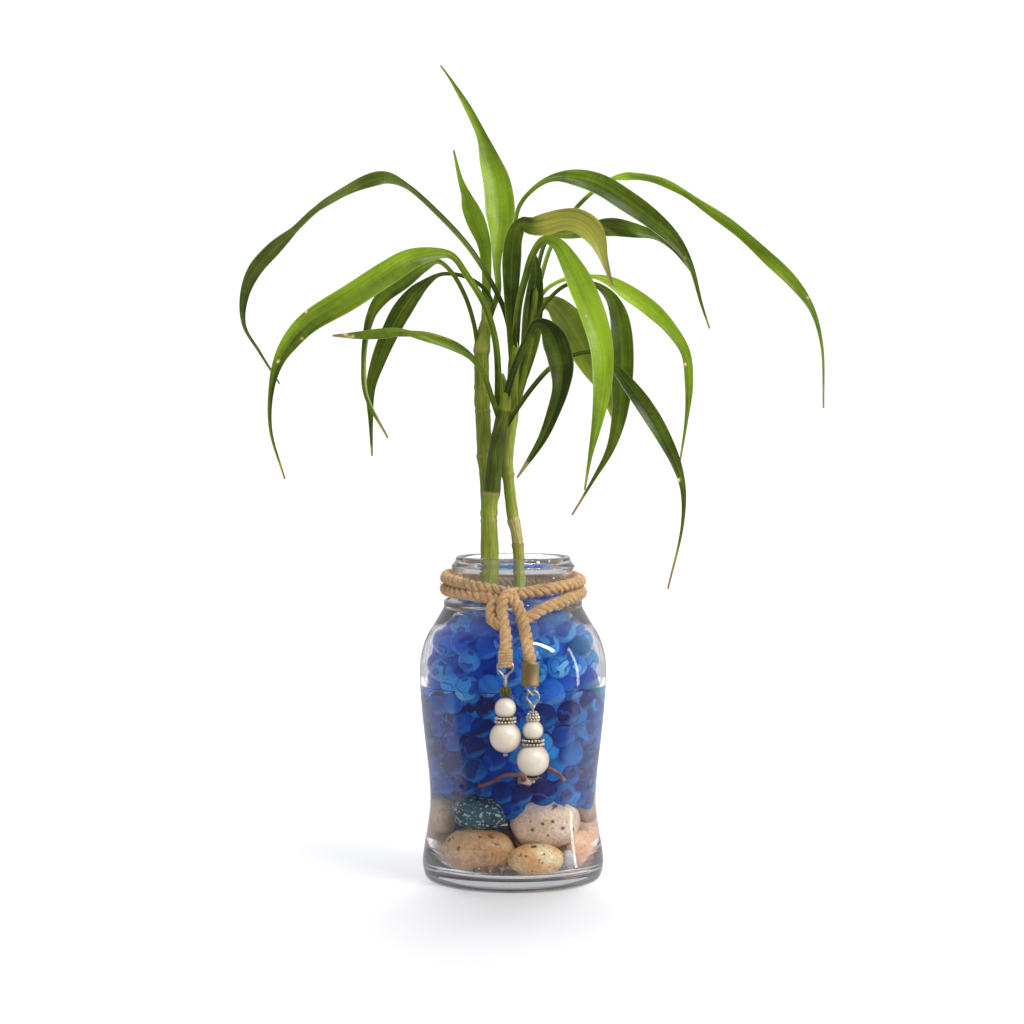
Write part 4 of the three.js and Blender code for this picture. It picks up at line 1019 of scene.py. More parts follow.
def jarOutline():
    outline = jar["foot"] + softened(jar["outside"], 4)
    for part, steps in (("ridge", 3), ("neck", 3), ("thread", 3), ("lip", 3), ("inside", 5)):
        outline += softened([outline[-1], *jar[part]], steps)[1:]
    return outline + jar["floor"]


def jarWobble(turn, height):
    oval, wavy = jar["mould"]
    mould = oval * np.sin(2 * turn + 0.4) + wavy * np.sin(5 * turn + height * 0.12)
    low = math.exp(-((height - 1.3) / 0.8) ** 2)
    teeth = jar["toothHeight"] * low * (np.cos(turn * jar["teeth"]) - 1) / 2
    return teeth + mould * (0 < height < jar["mouldTo"])


def addJar():
    clearGlass, skin = newFinish("clearGlass", Roughness=0.0, IOR=1.5, Transmission_Weight=1.0)
    # painted light: the glass turns partly pale and diffuse at the foot and the shoulder, where light shows
    # through the thick glass
    height = axisOf(2)
    foot = rangeOf(height, *jar["footPaintedLightAt"], jar["footPaintedLight"], 0.0)
    shoulder = rangeOf(height, *jar["neckPaintedLightAt"], 0.0, jar["neckPaintedLight"])
    paintedLight = calculate("MAXIMUM", foot, shoulder)
    fill(skin.inputs["Transmission Weight"], minus(1.0, paintedLight))
    paintedLightShare = rangeOf(paintedLight, 0.0, 0.1)
    tint = blendColours(paintedLightShare, (0.965, 0.965, 0.985), (0.76, 0.78, 0.75))
    paint(skin, tint)
    roughen(skin, noiseAt(14.0, 2.0), 0.0008, 0.25)
    letLightIn(skin, (0.97, 0.975, 0.985))
    addPiece("glass_jar", [turned(jarOutline(), jar["sides"], jarWobble)], clearGlass, "jar", 80)
    print("jar made")


# water, up to its level among the beads

water = {
    "level": 98.0,
    "meniscus": 0.8,
    "sideFrom": 9.0,
    "floor": 5.2,
    "intoGlass": 0.2,
    "sides": 160,
}


def addWater():
    clearWater, skin = newFinish("clearWater", Roughness=0.0, IOR=1.333, Transmission_Weight=1.0)
    paint(skin, (0.96, 0.975, 0.99))
    letLightIn(skin, (0.97, 0.985, 1.0), attribute("broken"))
    level, extra, floor = water["level"], water["intoGlass"], water["floor"]
    heights = np.linspace(water["sideFrom"], level + water["meniscus"], 40)
    side = [(float(radiusInside(z)) + extra, float(z)) for z in heights]
    rim = side[-1][0]
    top = [(rim - 0.9, level + 0.35), (rim - 2.2, level + 0.08), (rim - 4.5, level)]
    top += [(rim / 2, level), (0, level)]
    outline = [(0, floor), (20, floor + 0.1), (33 + extra, 5.9 - extra), *side, *top]
    points, faces = turned(outline, water["sides"])
    # the beads break the flat surface, so no light bends there but at the rim
    broken = (points[:, 2] > level - 0.5) & (np.hypot(points[:, 0], points[:, 1]) < rim - 1.5)
    body = (points, faces, {"broken": broken.astype(float)})
    addPiece("clear_water", [body], clearWater, "water", 80)
    print("water made")


# pebbles: shade, [across, up, depth, half width, half height, half depth, turn], as the solids lie

pebbleGrain = {"columns": 72, "rows": 40, "lump": 0.05, "hollow": 0.035, "square": 0.06, "firstSeed": 1}
gritGrain = {"columns": 24, "rows": 14, "lump": 0.35, "firstSeed": 20}

pebbles = [
    ("tan", [-15.5, 17.6, -21, 17.2, 11.8, 11.5, 4]),
    ("rosy", [14.5, 31.4, -15.5, 16.2, 13.4, 10.5, -6]),
    ("cream", [10.5, 14.0, -26, 13, 8.4, 7.6, 3]),
    ("salmon", [27.8, 17.2, -9, 7.6, 9.6, 8.8, 0]),
    ("pale", [24.6, 13.3, -20.4, 3.8, 4.8, 3.5, 0]),
    ("slate", [-15, 36.6, -17, 13.2, 9.6, 11, 0]),
    ("beige", [-27.5, 32.6, 0.5, 7.5, 10, 10, 0]),
    ("beige", [28, 37.2, 6.5, 7, 10.2, 9, 0]),
    ("brown", [-1.5, 14.3, -11, 4.4, 6.2, 5, 0]),
    ("beige", [-24, 17, 14, 10.5, 9.4, 12, 20]),
    ("tan", [-2, 16.9, 14, 11.5, 9, 12, -12]),
    ("salmon", [20, 17.1, 19, 10.5, 9.6, 11.5, 30]),
    ("pale", [-8, 33.4, 27, 13, 9.4, 8, 8]),
    ("tan", [12, 34.4, 13, 10, 8.6, 9, -10]),
]
grit = [
    ("brown", [-16.4, 9.6, -28.3, 1.9, 1.5, 1.4, 0]),
    ("brown", [-11, 9.5, -29.6, 1.8, 1.6, 1.5, 0]),
    ("brown", [-5.4, 9.7, -28.4, 2, 1.8, 1.6, 0]),
]

# main, second and speck shade, how much the pits show, from what noise on specks show, their fineness
stoneLooks = {
    "tan": [(0.36, 0.165, 0.045), (0.45, 0.28, 0.13), (0.11, 0.05, 0.02), 0.9, 0.63, 420.0],
    "rosy": [(0.60, 0.41, 0.26), (0.72, 0.53, 0.38), (0.20, 0.11, 0.07), 1.0, 0.67, 420.0],
    "cream": [(0.70, 0.55, 0.30), (0.60, 0.29, 0.08), (0.10, 0.06, 0.04), 1.0, 0.66, 420.0],
    "salmon": [(0.70, 0.34, 0.18), (0.78, 0.50, 0.31), (0.30, 0.14, 0.08), 0.4, 0.68, 420.0],
    "pale": [(0.30, 0.29, 0.25), (0.44, 0.42, 0.38), (0.2, 0.18, 0.16), 0.3, 0.66, 420.0],
    "slate": [(0.014, 0.032, 0.038), (0.030, 0.100, 0.130), (0.42, 0.48, 0.40), 0.0, 0.57, 700.0],
    "beige": [(0.33, 0.19, 0.09), (0.44, 0.28, 0.15), (0.28, 0.17, 0.10), 0.4, 0.66, 420.0],
    "brown": [(0.10, 0.055, 0.028), (0.24, 0.14, 0.07), (0.10, 0.06, 0.04), 0.3, 0.66, 420.0],
}


def makeStone(row, seed, columns, rows, lump):
    across, up, depth, halfWidth, halfHeight, halfDepth, degrees = row
    points, faces = ball(1.0, columns, rows)
    x, y, z = points[:, 0], points[:, 2], -points[:, 1]

    def lumps(scale, shift):
        spots = [Vector((a * scale, b * scale, c * scale + shift * seed)) for a, b, c in points]
        return np.array([noise.noise(spot) for spot in spots])

    ripple = np.sin(2.1 * x + seed) * np.cos(1.7 * y - 2 * seed) + np.sin(2.4 * z + 3 * seed)
    size = 1 - pebbleGrain["hollow"] + pebbleGrain["hollow"] * ripple
    size = size * (1 + lump * lumps(1.9, 7) + 0.12 * lump * lumps(7, 3))
    size = size * (1 + pebbleGrain["square"] * (1 - (np.abs(x) ** 4 + np.abs(y) ** 4 + np.abs(z) ** 4)))
    wide, deep, tall = x * halfWidth * size, -z * halfDepth * size, y * halfHeight * size
    c, s = math.cos(math.radians(degrees)), math.sin(math.radians(degrees))
    return moved((np.stack([wide * c + tall * s, deep, -wide * s + tall * c], 1), faces), across, up, depth)


def stoneFinish(name, look):
    main, second, speck, pitted, specksFrom, fineness = look
    stoneSkin, skin = newFinish(f"{name}Stone", Roughness=0.5)
    patches = noiseAt(70.0, 5.0, None, 0.6)
    grain = noiseAt(700.0, 5.0, None, 0.7)
    base = blendColours(rangeOf(patches, 0.42, 0.6), main, second)
    base = shaded(base, varied(grain, 0.62, 1.28))
    specks = rangeOf(noiseAt(fineness, 2.0), specksFrom, specksFrom + 0.05)
    spot = placeOf()
    holes = addNode("ShaderNodeTexVoronoi", {"feature": "F1"}, Scale=210.0, Vector=spot).outputs
    chosen = addNode("ShaderNodeSeparateColor", None, Color=holes["Color"]).outputs[0]
    pit = minus(rangeOf(chosen, 0.42, 1.0, 0.0, 0.38), holes["Distance"])
    pit = rangeOf(pit, 0.0, 0.07, 0.0, pitted)
    for share in (specks, pit):
        base = blendColours(share, base, speck)
    paint(skin, base)
    roughen(skin, minus(grain, times(pit, 2.0)), 0.0005, 0.8)
    return stoneSkin


def addPebbles():
    made = {name: stoneFinish(name, look) for name, look in stoneLooks.items()}
    for piece, node, rows, grain in (
        ("river_pebble", "pebble", pebbles, pebbleGrain),
        ("grit_bit", "grit", grit, gritGrain),
    ):
        for i, (shade, row) in enumerate(rows):
            stone = makeStone(row, i + grain["firstSeed"], grain["columns"], grain["rows"], grain["lump"])
            addPiece(f"{piece}_{i + 1}", [stone], made[shade], f"{node}_{i + 1}")
    print("pebbles made")


# swollen water beads, pressed together round the canes

beads = {
    "count": 350,
    "smallest": 5.0,
    "largest": 7.0,
    "lowestStart": 44,
    "gapToGlass": 0.25,
    "gapToStems": 0.15,
    "rounds": 160,
    "sinkingRounds": 0.8,  # share of the rounds in which they still sink
    "squeeze": 0.985,
    "top": 145.6,
    "sink": 0.1,
    "seed": 5,
    "columns": 24,
    "rows": 14,
    "shade": 0.26,  # at the lowest height, and how much brighter at the top and to the right, as painted light
    "paintedLightUp": 0.34,
    "paintedLightRightInAir": 0.07,
    "paintedLightRightInWater": 0.24,
    "greenFrom": 0.93,
}

# how low the beads come, by place across, in front and behind
beadFoot = {
    "across": [-40, -30, -5, -3, 0, 3, 25, 29, 40],
    "front": [42, 46.5, 46, 31, 31, 43, 42, 37, 37],
    "behind": 32,
    "frontTo": 4,
}

# beads that show by themselves: [across, up, depth, radius, shade]
singleBeads = [
    [-1.6, 38, -20, 4.6, 0.3],
    [30.5, 49, -14, 5.8, 0.12],
    [-21.5, 52, -27, 5.0, 0.1],
    # the last three sit in the gap between the pebbles; their low shades are painted shade
    [-20.5, 28.5, -2, 4.4, 0.1],
    [-9.5, 27, 0, 4.4, 0.2],
    [2.5, 28, 2, 4.6, 0.15],
]


def roomInside(height, radius):
    room = np.full(height.shape, 1e9)
    for dz in np.linspace(-0.95, 0.95, 9):
        room = np.minimum(room, radiusInside(height + dz * radius) - radius * math.sqrt(1 - dz * dz))
    return room - beads["gapToGlass"]


def stemsInJar():
    routes = [cane["cane"] for cane in leafyCanes.values()]
    routes += [route for cane in leafyCanes.values() for route in cane["roots"]]
    stems = []
    for route in routes:
        inJar = [row for row in route if row[1] < 165]
        for low, high in zip(inJar, inJar[1:]):
            stems.append((place(low), place(high), max(low[3], high[3]) / 2))
    return stems


def pushApart(spot, radius):
    offset = spot[:, None, :] - spot[None, :, :]
    far = np.sqrt(np.einsum("ijk,ijk->ij", offset, offset)) + np.eye(len(radius)) * 1e3
    overlap = np.clip((radius[:, None] + radius[None, :]) * beads["squeeze"] - far, 0, None)
    spot += np.einsum("ijk,ij->ik", offset, overlap / far * 0.5)


def pushFromStems(spot, radius, stems):
    for low, high, thick in stems:
        way = high - low
        share = np.clip(((spot - low) @ way) / (way @ way), 0, 1)
        away = spot - (low + share[:, None] * way)
        gone = np.linalg.norm(away, axis=1) + 1e-9
        push = np.clip(thick + radius + beads["gapToStems"] - gone, 0, None)
        spot += away / gone[:, None] * push[:, None]


def pushFromPebbles(spot, radius):
    for _, row in pebbles:
        centre, (halfWidth, halfHeight, halfDepth) = place(row), row[3:6]
        reachOut = np.array([halfWidth, halfDepth, halfHeight]) * 0.98 + radius[:, None]
        near = np.linalg.norm((spot - centre) / reachOut, axis=1)
        inside = near < 1
        spot[inside] = centre + (spot[inside] - centre) / near[inside][:, None]


def keepInJar(spot, radius):
    front = np.interp(spot[:, 0], beadFoot["across"], beadFoot["front"])
    foot = np.where(spot[:, 1] < beadFoot["frontTo"], front, beadFoot["behind"])
    spot[:, 2] = np.clip(spot[:, 2], foot + 0.9 * radius, beads["top"] - radius)
    out, room = np.hypot(spot[:, 0], spot[:, 1]), roomInside(spot[:, 2], radius)
    over = out > room
    spot[over, :2] *= (room[over] / out[over])[:, None]


def settledBeads():
    rule, count = beads, beads["count"]
    draw = np.random.default_rng(rule["seed"])
    radius = draw.uniform(rule["smallest"], rule["largest"], count)
    height = draw.uniform(rule["lowestStart"], rule["top"] - 4, count)
    turn = draw.uniform(0, 2 * np.pi, count)
    reach = np.clip(roomInside(height, radius), 4, None) * np.sqrt(draw.uniform(0, 1, count))
    spot = np.stack([reach * np.cos(turn), reach * np.sin(turn), height], 1)
    stems = stemsInJar()
    for i in range(rule["rounds"]):
        pushApart(spot, radius)
        if i < rule["sinkingRounds"] * rule["rounds"]:
            spot[:, 2] -= rule["sink"]
        pushFromStems(spot, radius, stems)
        pushFromPebbles(spot, radius)
        keepInJar(spot, radius)
    return spot, radius, draw.uniform(0, 1, count), draw.uniform(0, 1, count)


# shades: violet-blue, blue, azure, and the few green ones from 0.95 on
# cells: how fine the painted patches of light are; lit, deep, rim, arc and cloud: shades of painted light,
# painted shade, a painted outline, painted refraction arcs and random clouds on a bead
gelLooks = {
    "gelInAir": {
        "shades": [
            (0.0, (0.03, 0.05, 0.42)), (0.2, (0.035, 0.11, 0.60)), (0.45, (0.05, 0.24, 0.74)),
            (0.7, (0.09, 0.44, 0.82)), (0.92, (0.13, 0.52, 0.84)), (0.95, (0.03, 0.26, 0.34)),
            (1.0, (0.05, 0.42, 0.28)),
        ],
        "ior": 1.33, "clear": 0.65, "passing": (0.72, 0.80, 0.97),
        "cells": 105.0, "bright": 0.9, "dark": 0.9,
        "cloud": (0.06, 0.42, 0.85),
        "lit": (0.35, 0.80, 1.0), "litShare": 0.4,
        "deep": (0.02, 0.05, 0.40), "deepShare": 0.35,
        "rim": (0.008, 0.02, 0.16), "rimShare": 0.85, "rimFrom": 0.72,
        "arc": (0.006, 0.02, 0.16), "arcShare": 0.8,
    },
    "gelInWater": {
        "shades": [
            (0.0, (0.020, 0.012, 0.09)), (0.2, (0.003, 0.015, 0.11)), (0.42, (0.003, 0.036, 0.27)),
            (0.66, (0.004, 0.10, 0.42)), (0.92, (0.03, 0.33, 0.62)), (0.95, (0.008, 0.10, 0.13)),
            (1.0, (0.04, 0.17, 0.06)),
        ],
        "ior": 1.06, "clear": 0.5, "passing": (0.78, 0.84, 0.97),
        "cells": 85.0, "bright": 0.8, "dark": 0.9,
        "cloud": (0.005, 0.07, 0.38),
        "lit": (0.04, 0.38, 0.80), "litShare": 0.35,
        "deep": (0.012, 0.012, 0.12), "deepShare": 0.35,
        "rim": (0.10, 0.16, 0.50), "rimShare": 0.75, "rimFrom": 0.84,
        "arc": (0.06, 0.13, 0.48), "arcShare": 0.6,
    },
}


# where on a bead the painted light, shade and refraction arcs fall, and how large the random clouds are
gelPaintedLight = {
    "sway": (0.009, 0.009, 0.009),
    "swayScale": 130.0,
    "cloudScale": 110.0,
    "patchEdge": (0.36, 0.40),
    "patchPicked": (0.52, 0.6),
    "arcAt": 0.41,
    "crescentAt": 0.62,
}


def gelFinish(name, look):
    gel, skin = newFinish(name, Roughness=0.0, IOR=look["ior"], Transmission_Weight=look["clear"])
    top, spot = attribute("top"), placeOf()
    # painted refraction: noise-bent cells give patches of painted light and shade, with arcs at their edges
    noises = addNode("ShaderNodeTexNoise", None, Scale=gelPaintedLight["swayScale"], Detail=1.0, Vector=spot)
    sway = addNode("ShaderNodeVectorMath", {"operation": "SUBTRACT"}, Vector=noises.outputs["Color"])
    bent = addNode("ShaderNodeVectorMath", {"operation": "MULTIPLY_ADD"})
    for socket, value in zip(bent.inputs, (sway.outputs[0], gelPaintedLight["sway"], spot)):
        fill(socket, value)
    bent = bent.outputs[0]
    cells = addNode("ShaderNodeTexVoronoi", {"feature": "F1"}, Scale=look["cells"], Vector=bent).outputs
    picks = addNode("ShaderNodeSeparateColor", None, Color=cells["Color"]).outputs
    inside = rangeOf(cells["Distance"], *gelPaintedLight["patchEdge"], 1.0, 0.0)
    picked = gelPaintedLight["patchPicked"]
    brighter = times(inside, rangeOf(picks[0], *picked, 0.0, look["bright"]))
    darker = times(inside, rangeOf(picks[1], *picked, 0.0, look["dark"]))
    arc = calculate("ABSOLUTE", minus(cells["Distance"], gelPaintedLight["arcAt"]))
    # crescent: a painted ring of light on one side of each bead; facing: the painted outline, dark in air
    # and pale in water
    crescent = calculate("ABSOLUTE", plus(top, gelPaintedLight["crescentAt"]))
    facing = addNode("ShaderNodeLayerWeight", None, Blend=0.5).outputs["Facing"]
    core = ramp(attribute("shade"), look["shades"])
    # all marks but the cloud are painted: top darkens one side of each bead as painted shade
    for share, shade in (
        (rangeOf(noiseAt(gelPaintedLight["cloudScale"], 2.0), 0.35, 0.65, 0.0, 0.3), "cloud"),
        (rangeOf(top, -0.1, 0.9, 0.0, look["deepShare"]), "deep"),
        (brighter, "lit"),
        (darker, "deep"),
        (rangeOf(arc, 0.01, 0.05, look["arcShare"], 0.0), "arc"),
        (rangeOf(crescent, 0.05, 0.32, look["litShare"], 0.0), "lit"),
        (rangeOf(facing, look["rimFrom"], 1.0, 0.0, look["rimShare"]), "rim"),
    ):
        core = blendColours(share, core, look[shade])
    paint(skin, core)
    letLightIn(skin, look["passing"])
    return gel


def beadShade(across, up, pick, other):
    rule = beads
    if other > rule["greenFrom"]:
        return 0.93 + 0.07 * pick
    toRight = rule["paintedLightRightInAir"] if up > water["level"] else rule["paintedLightRightInWater"]
    # painted light: beads are brighter higher up and further to the right
    shade = rule["shade"] + rule["paintedLightUp"] * (up - 42) / 100 + toRight * across / 40 + (pick - 0.5)
    return min(max(shade, 0), 0.92)


def addBeads():
    rows = []
    for (x, y, z), size, pick, other in zip(*settledBeads()):
        rows.append([x, z, y, size, beadShade(x, z, pick, other)])
    whole = {"gelInAir": [], "gelInWater": []}
    for across, up, depth, size, shade in rows + singleBeads:
        points, faces = ball(size, beads["columns"], beads["rows"])
        top = (0.8 * points[:, 2] - 0.35 * points[:, 0]) / size
        part = (points, faces, {"shade": float(shade), "top": top})
        gel = "gelInAir" if up > water["level"] - 0.5 * size else "gelInWater"
        whole[gel].append(moved(part, across, up, depth))
    for piece, gel in (("beads_above_water", "gelInAir"), ("beads_in_water", "gelInWater")):
        addPiece(piece, whole[gel], gelFinish(gel, gelLooks[gel]), "water_beads", 80)
        print(piece, "made:", len(whole[gel]))


addJar()
addWater()
addPebbles()
addBeads()


# neck cord: one jute rope of three strands, its routes as the solid follows

cord = {
    "strandRadius": 1.45,
    "strandReach": 1.5,
    "pitch": 12.0,
    "step": 0.8,
    "sides": 20,
    "yarns": 8,
    "yarnDepth": 0.11,
    "yarnPitch": 6.5,
    "unevenness": 0.11,
    "wander": 0.08,
    "fibres": 5000,
    "fibreRadius": 0.06,
    "seed": 18,
}

# turns round the neck: [degrees, up, from the axis]
cordTurns = {
    "upperTurn": [
        [2, 146.6, 34], [32, 149.4, 33.5], [60, 151.6, 33.4], [90, 152.4, 33.4], [120, 153, 33.4],
        [150, 153.4, 33.4], [180, 153.4, 33.4], [210, 152.8, 33.4], [240, 151.8, 33.4], [270, 150.8, 33.4],
        [300, 149.8, 33.4], [328, 148.4, 33.5], [356, 146.4, 34.2],
    ],
    "lowerTurn": [
        [5, 141.4, 37.9], [18, 144.2, 35.4], [36, 145.2, 34.2], [60, 146, 33.7], [90, 146.6, 33.6],
        [120, 147.2, 33.5], [150, 147.5, 33.5], [180, 147.5, 33.5], [210, 147, 33.5], [240, 146.2, 33.6],
        [270, 145.2, 33.8], [292, 144.4, 34.8], [310, 143.2, 36.4], [327, 141.2, 38], [339, 138.9, 39],
        [349, 135.5, 40.4], [357, 134.4, 41.7],
    ],
}
cordEnds = {
    "knotSide": [[-8.6, 144, -34.6], [-10.4, 139, -37.6], [-9.6, 133.6, -40], [-4, 131.4, -43]],
    "leftEnd": [
        [2, 147, -34.2], [-3.4, 145.6, -38.2], [-5.4, 140, -41], [-4.6, 133, -42.8], [-3.4, 126.5, -46],
        [-3.6, 120, -50.6], [-3.7, 114, -53],
    ],
    "rightEnd": [
        [-4, 145.4, -35.4], [0.6, 143.6, -39.4], [3.8, 137, -42], [5.8, 129.4, -45.4], [7, 122, -50],
        [8.2, 116.4, -52.8], [8.3, 111.4, -53],
    ],
}

# thin thread wound round the left end
whipping = {
    "across": -3.7,
    "up": 116,
    "depth": -52.6,
    "radius": 2.95,
    "thread": 0.75,
    "length": 8.0,
    "turns": 6,
    "stepsPerTurn": 24,
    "sides": 8,
}


def roundNeck(row):
    degrees, up, radius = row
    turn = math.radians(degrees)
    return [-radius * math.sin(turn), up, -radius * math.cos(turn)]


def ropeStrands(route, phase):
    rule, around = cord, turnsOf(cord["sides"])
    draw = np.random.default_rng(int(100 * phase) + rule["seed"])
    rough, gone = measured(lineThrough([place(row) for row in route]), 400)
    along = np.linspace(0, gone[-1], int(gone[-1] / rule["step"]) + 1)
    centres = np.stack([np.interp(along, gone, rough[:, k]) for k in range(3)], 1)
    frames = steadyFrames(centres)
    parts, surface = [], []
    for strand in range(3):
        turn = 2 * np.pi * (along / rule["pitch"] + strand / 3) + phase
        wander = rule["wander"] * np.sin(along * 0.9 + 5 * strand + phase)
        path = np.array([
            c + (rule["strandReach"] + w) * (r * math.cos(t) + u * math.sin(t))
            for c, (r, u), t, w in zip(centres, frames, turn, wander)
        ])
        rings, rounds, lengths = [], [], []
        for centre, (right, up), far in zip(path, steadyFrames(path), along):
            wound = around * rule["yarns"] - 2 * np.pi * far / rule["yarnPitch"]
            radius = rule["strandRadius"] * (1 + rule["yarnDepth"] * (np.abs(np.cos(wound / 2)) * 2 - 1.3))
            swell = 0.05 * math.sin(far * 2.3 + strand * 2)
            radius += swell + draw.normal(0, rule["unevenness"], rule["sides"])
            spokes = np.outer(np.cos(around), right) + np.outer(np.sin(around), up)
            rings.append(centre + radius[:, None] * spokes)
            rounds.append(around - far * 0.5)
            lengths.append(np.full(rule["sides"], far + 40 * strand))
        points, faces = skinOver(np.array(rings))
        parts.append((points, faces, {"round": np.concatenate(rounds), "along": np.concatenate(lengths)}))
        surface.append((path, centres))
    return parts, surface


def cordFibres(surfaces):
    draw = np.random.default_rng(cord["seed"])
    lengths = np.array([len(path) for path, _ in surfaces], float)
    radii = cord["fibreRadius"] * np.array([1.0, 1, 0.85, 0.4])
    parts = []
    for _ in range(cord["fibres"]):
        path, centres = surfaces[draw.choice(len(surfaces), p=lengths / lengths.sum())]
        i = int(draw.integers(2, len(path) - 3))
        ahead = path[i + 1] - path[i - 1]
        ahead /= np.linalg.norm(ahead)
        out = path[i] - centres[i]
        out = out / np.linalg.norm(out)
        side = np.cross(ahead, out)
        tilt = draw.normal(0, 0.9)
        out = out * math.cos(tilt) + side * math.sin(tilt)
        if draw.random() < 0.5:
            ahead = -ahead
        size = draw.uniform(1.2, 3.0) if draw.random() < 0.8 else draw.uniform(3.0, 5.5)
        lift = draw.uniform(0.1, 0.55)
        bend = draw.normal(0, 0.5)
        start = path[i] + out * cord["strandRadius"] * 0.93
        route = []
        for t in (0, 0.35, 0.7, 1):
            route.append(start + size * (t * ahead * (1 - 0.3 * t) + t * t * (lift * out + bend * side)))
        points, faces = tube(route, radii, 3)
        parts.append((points, faces, {"round": 0.0, "along": float(i)}))
    return parts


def whippingThread():
    rule = whipping
    count = rule["turns"] * rule["stepsPerTurn"]
    foot = np.array([rule["across"], rule["depth"], rule["up"] - rule["length"] / 2])
    coil = []
    for i in range(count + 1):
        turn, rise = 2 * np.pi * i / rule["stepsPerTurn"], rule["length"] * i / count
        coil.append(foot + [rule["radius"] * math.cos(turn), rule["radius"] * math.sin(turn), rise])
    points, faces = tube(coil, rule["thread"], rule["sides"])
    around = np.tile(np.arange(rule["sides"]) * 0.785, count + 1)
    along = np.repeat(np.arange(count + 1) * 0.8, rule["sides"])
    return points, faces, {"round": around, "along": along}


def juteFinish():
    jute, skin = newFinish("jute", Roughness=0.85, Sheen_Weight=0.3, Sheen_Roughness=0.5)
    around = attribute("round")
    aside = times(calculate("COSINE", around), 3.2)
    behind = times(calculate("SINE", around), 3.2)
    spot = combined(aside, behind, times(attribute("along"), 0.22))
    streaks = blendNumbers(0.35, noiseAt(2.2, 6.0, spot, 0.75), noiseAt(1400.0, 3.0))
    base = ramp(streaks, [
        (0.30, (0.15, 0.065, 0.02)), (0.43, (0.37, 0.20, 0.075)), (0.54, (0.58, 0.36, 0.155)),
        (0.66, (0.80, 0.60, 0.34)),
    ])
    base = shaded(base, rangeOf(noiseAt(90.0, 3.0), 0.35, 0.65, 0.8, 1.1))
    paint(skin, base)
    roughen(skin, streaks, 0.0005, 0.9)
    return jute


def addCord():
    routes = [[roundNeck(row) for row in rows] for rows in cordTurns.values()] + list(cordEnds.values())
    parts, surfaces = [], []
    for i, route in enumerate(routes):
        strands, surface = ropeStrands(route, 1.3 * i)
        parts += strands
        surfaces += surface
    parts.append(whippingThread())
    addPiece("jute_cord", parts + cordFibres(surfaces), juteFinish(), "neck_cord", 80)
    print("cord made")


# charms: they hang in one upright plane in front of the jar

charms = {
    "depth": -53.6,
    "wireRadius": 0.5,
    "bore": 0.9,
    "grainRadius": 0.66,
    "grainGap": 1.62,
    "ringWall": 1.25,
    "pinHead": [(0, -1.3), (0.5, -1.27), (0.9, -1.1), (1.2, -0.5), (1.05, -0.1), (0.8, 0), (0, 0)],
}

# pearl: (up, radius), ring: (up, radius, half height, thickness), collar: (foot, top, radius)
leftCharm = {
    "across": -3.7,
    "loopTop": 114.8,
    "loopFoot": 108.4,
    "shankFoot": 103.1,
    "shankRadius": 0.55,
    "shankTurns": 5,
    "pinTop": 104.1,
    "crystal": 100.4,
    "smallPearl": (92.4, 5.2),
    "ring": (86.7, 5.4, 1.7, 1.6),
    "largePearl": (78.4, 7.7),
    "pinFoot": 70.35,
}
rightCharm = {
    "across": 9.6,
    "tubeAcross": 8.3,
    "tubeDepth": -53,
    "tube": 109,
    "linkTop": 104.0,
    "eyeTop": 100.8,
    "eyeFoot": 94,
    "collar": (92.35, 94.3, 0.95),
    "cap": 85.95,
    "smallPearl": (81.6, 5.05),
    "ring": (75.9, 5.7, 1.8, 1.5),
    "largePearl": (67.3, 7.95),
    "endCap": 57.7,
    "pinFoot": 57.35,
}

# outlines as (from the axis, up), grains as (from the axis, up, size, count)
metalShapes = {
    "tube": [
        (0, -4.4), (3.4, -4.4), (3.6, -5.4), (3.8, -5.75), (4.1, -5.8), (4.33, -5.55), (4.35, -4.6),
        (4.3, -4.45), (4.3, 4.45), (4.35, 4.6), (4.35, 5.5), (4.2, 5.78), (3.8, 5.8), (3.55, 5.55),
        (3.5, 1.2), (0, 1.2),
    ],
    "cap": [(0.9, 1.2), (2.0, 0.9), (2.6, 0.4), (2.7, 1.4), (2.4, 3.0), (1.6, 4.4), (0.9, 4.9)],
    "capGrains": [(2.75, 0.75, 0.7, 12), (2.8, 2.1, 0.7, 12), (2.35, 3.4, 0.65, 10), (1.6, 4.5, 0.55, 8)],
    "endCap": [(0.9, 0), (2, 0.2), (2.75, 0.7), (3.0, 1.2), (3, 1.8), (0.9, 1.25)],
    "endGrains": [(2.6, 1.1, 0.42, 16), (1.75, 0.35, 0.36, 11)],
}

# bright shade, dark shade, roughness, whether grains stand out
metals = {
    "dullWire": [(0.88, 0.82, 0.72), (0.62, 0.56, 0.48), 0.30, False],
    "oldSilver": [(0.98, 0.91, 0.78), (0.80, 0.71, 0.58), 0.30, True],
    "agedBrass": [(0.46, 0.34, 0.16), (0.36, 0.26, 0.12), 0.48, False],
}


def rod(across, low, high, radius):
    return tube([[across, charms["depth"], up] for up in (low, (low + high) / 2, high)], radius, 16)


def wireAlong(rows, steps):
    line = lineThrough([place(row) for row in rows])
    return tube([line(i / steps) for i in range(steps + 1)], charms["wireRadius"], 12)


def standing(part, across, up):
    return moved(part, across, up, charms["depth"])


def pinBelow(charm, top):
    across, foot = charm["across"], charm["pinFoot"]
    return [
        rod(across, foot - 0.2, top, charms["wireRadius"]),
        standing(turned(charms["pinHead"], 32), across, foot),
    ]


def pearlShape(radius):
    bore = charms["bore"]
    start = math.asin(bore / radius)
    turns = [start + (math.pi - 2 * start) * i / 32 for i in range(33)]
    outline = [(radius * math.sin(turn), -radius * math.cos(turn)) for turn in turns]
    foot = outline[0][1]
    return closedTurn([(bore, foot + 0.3), *outline, (bore, -foot - 0.3)], 64)


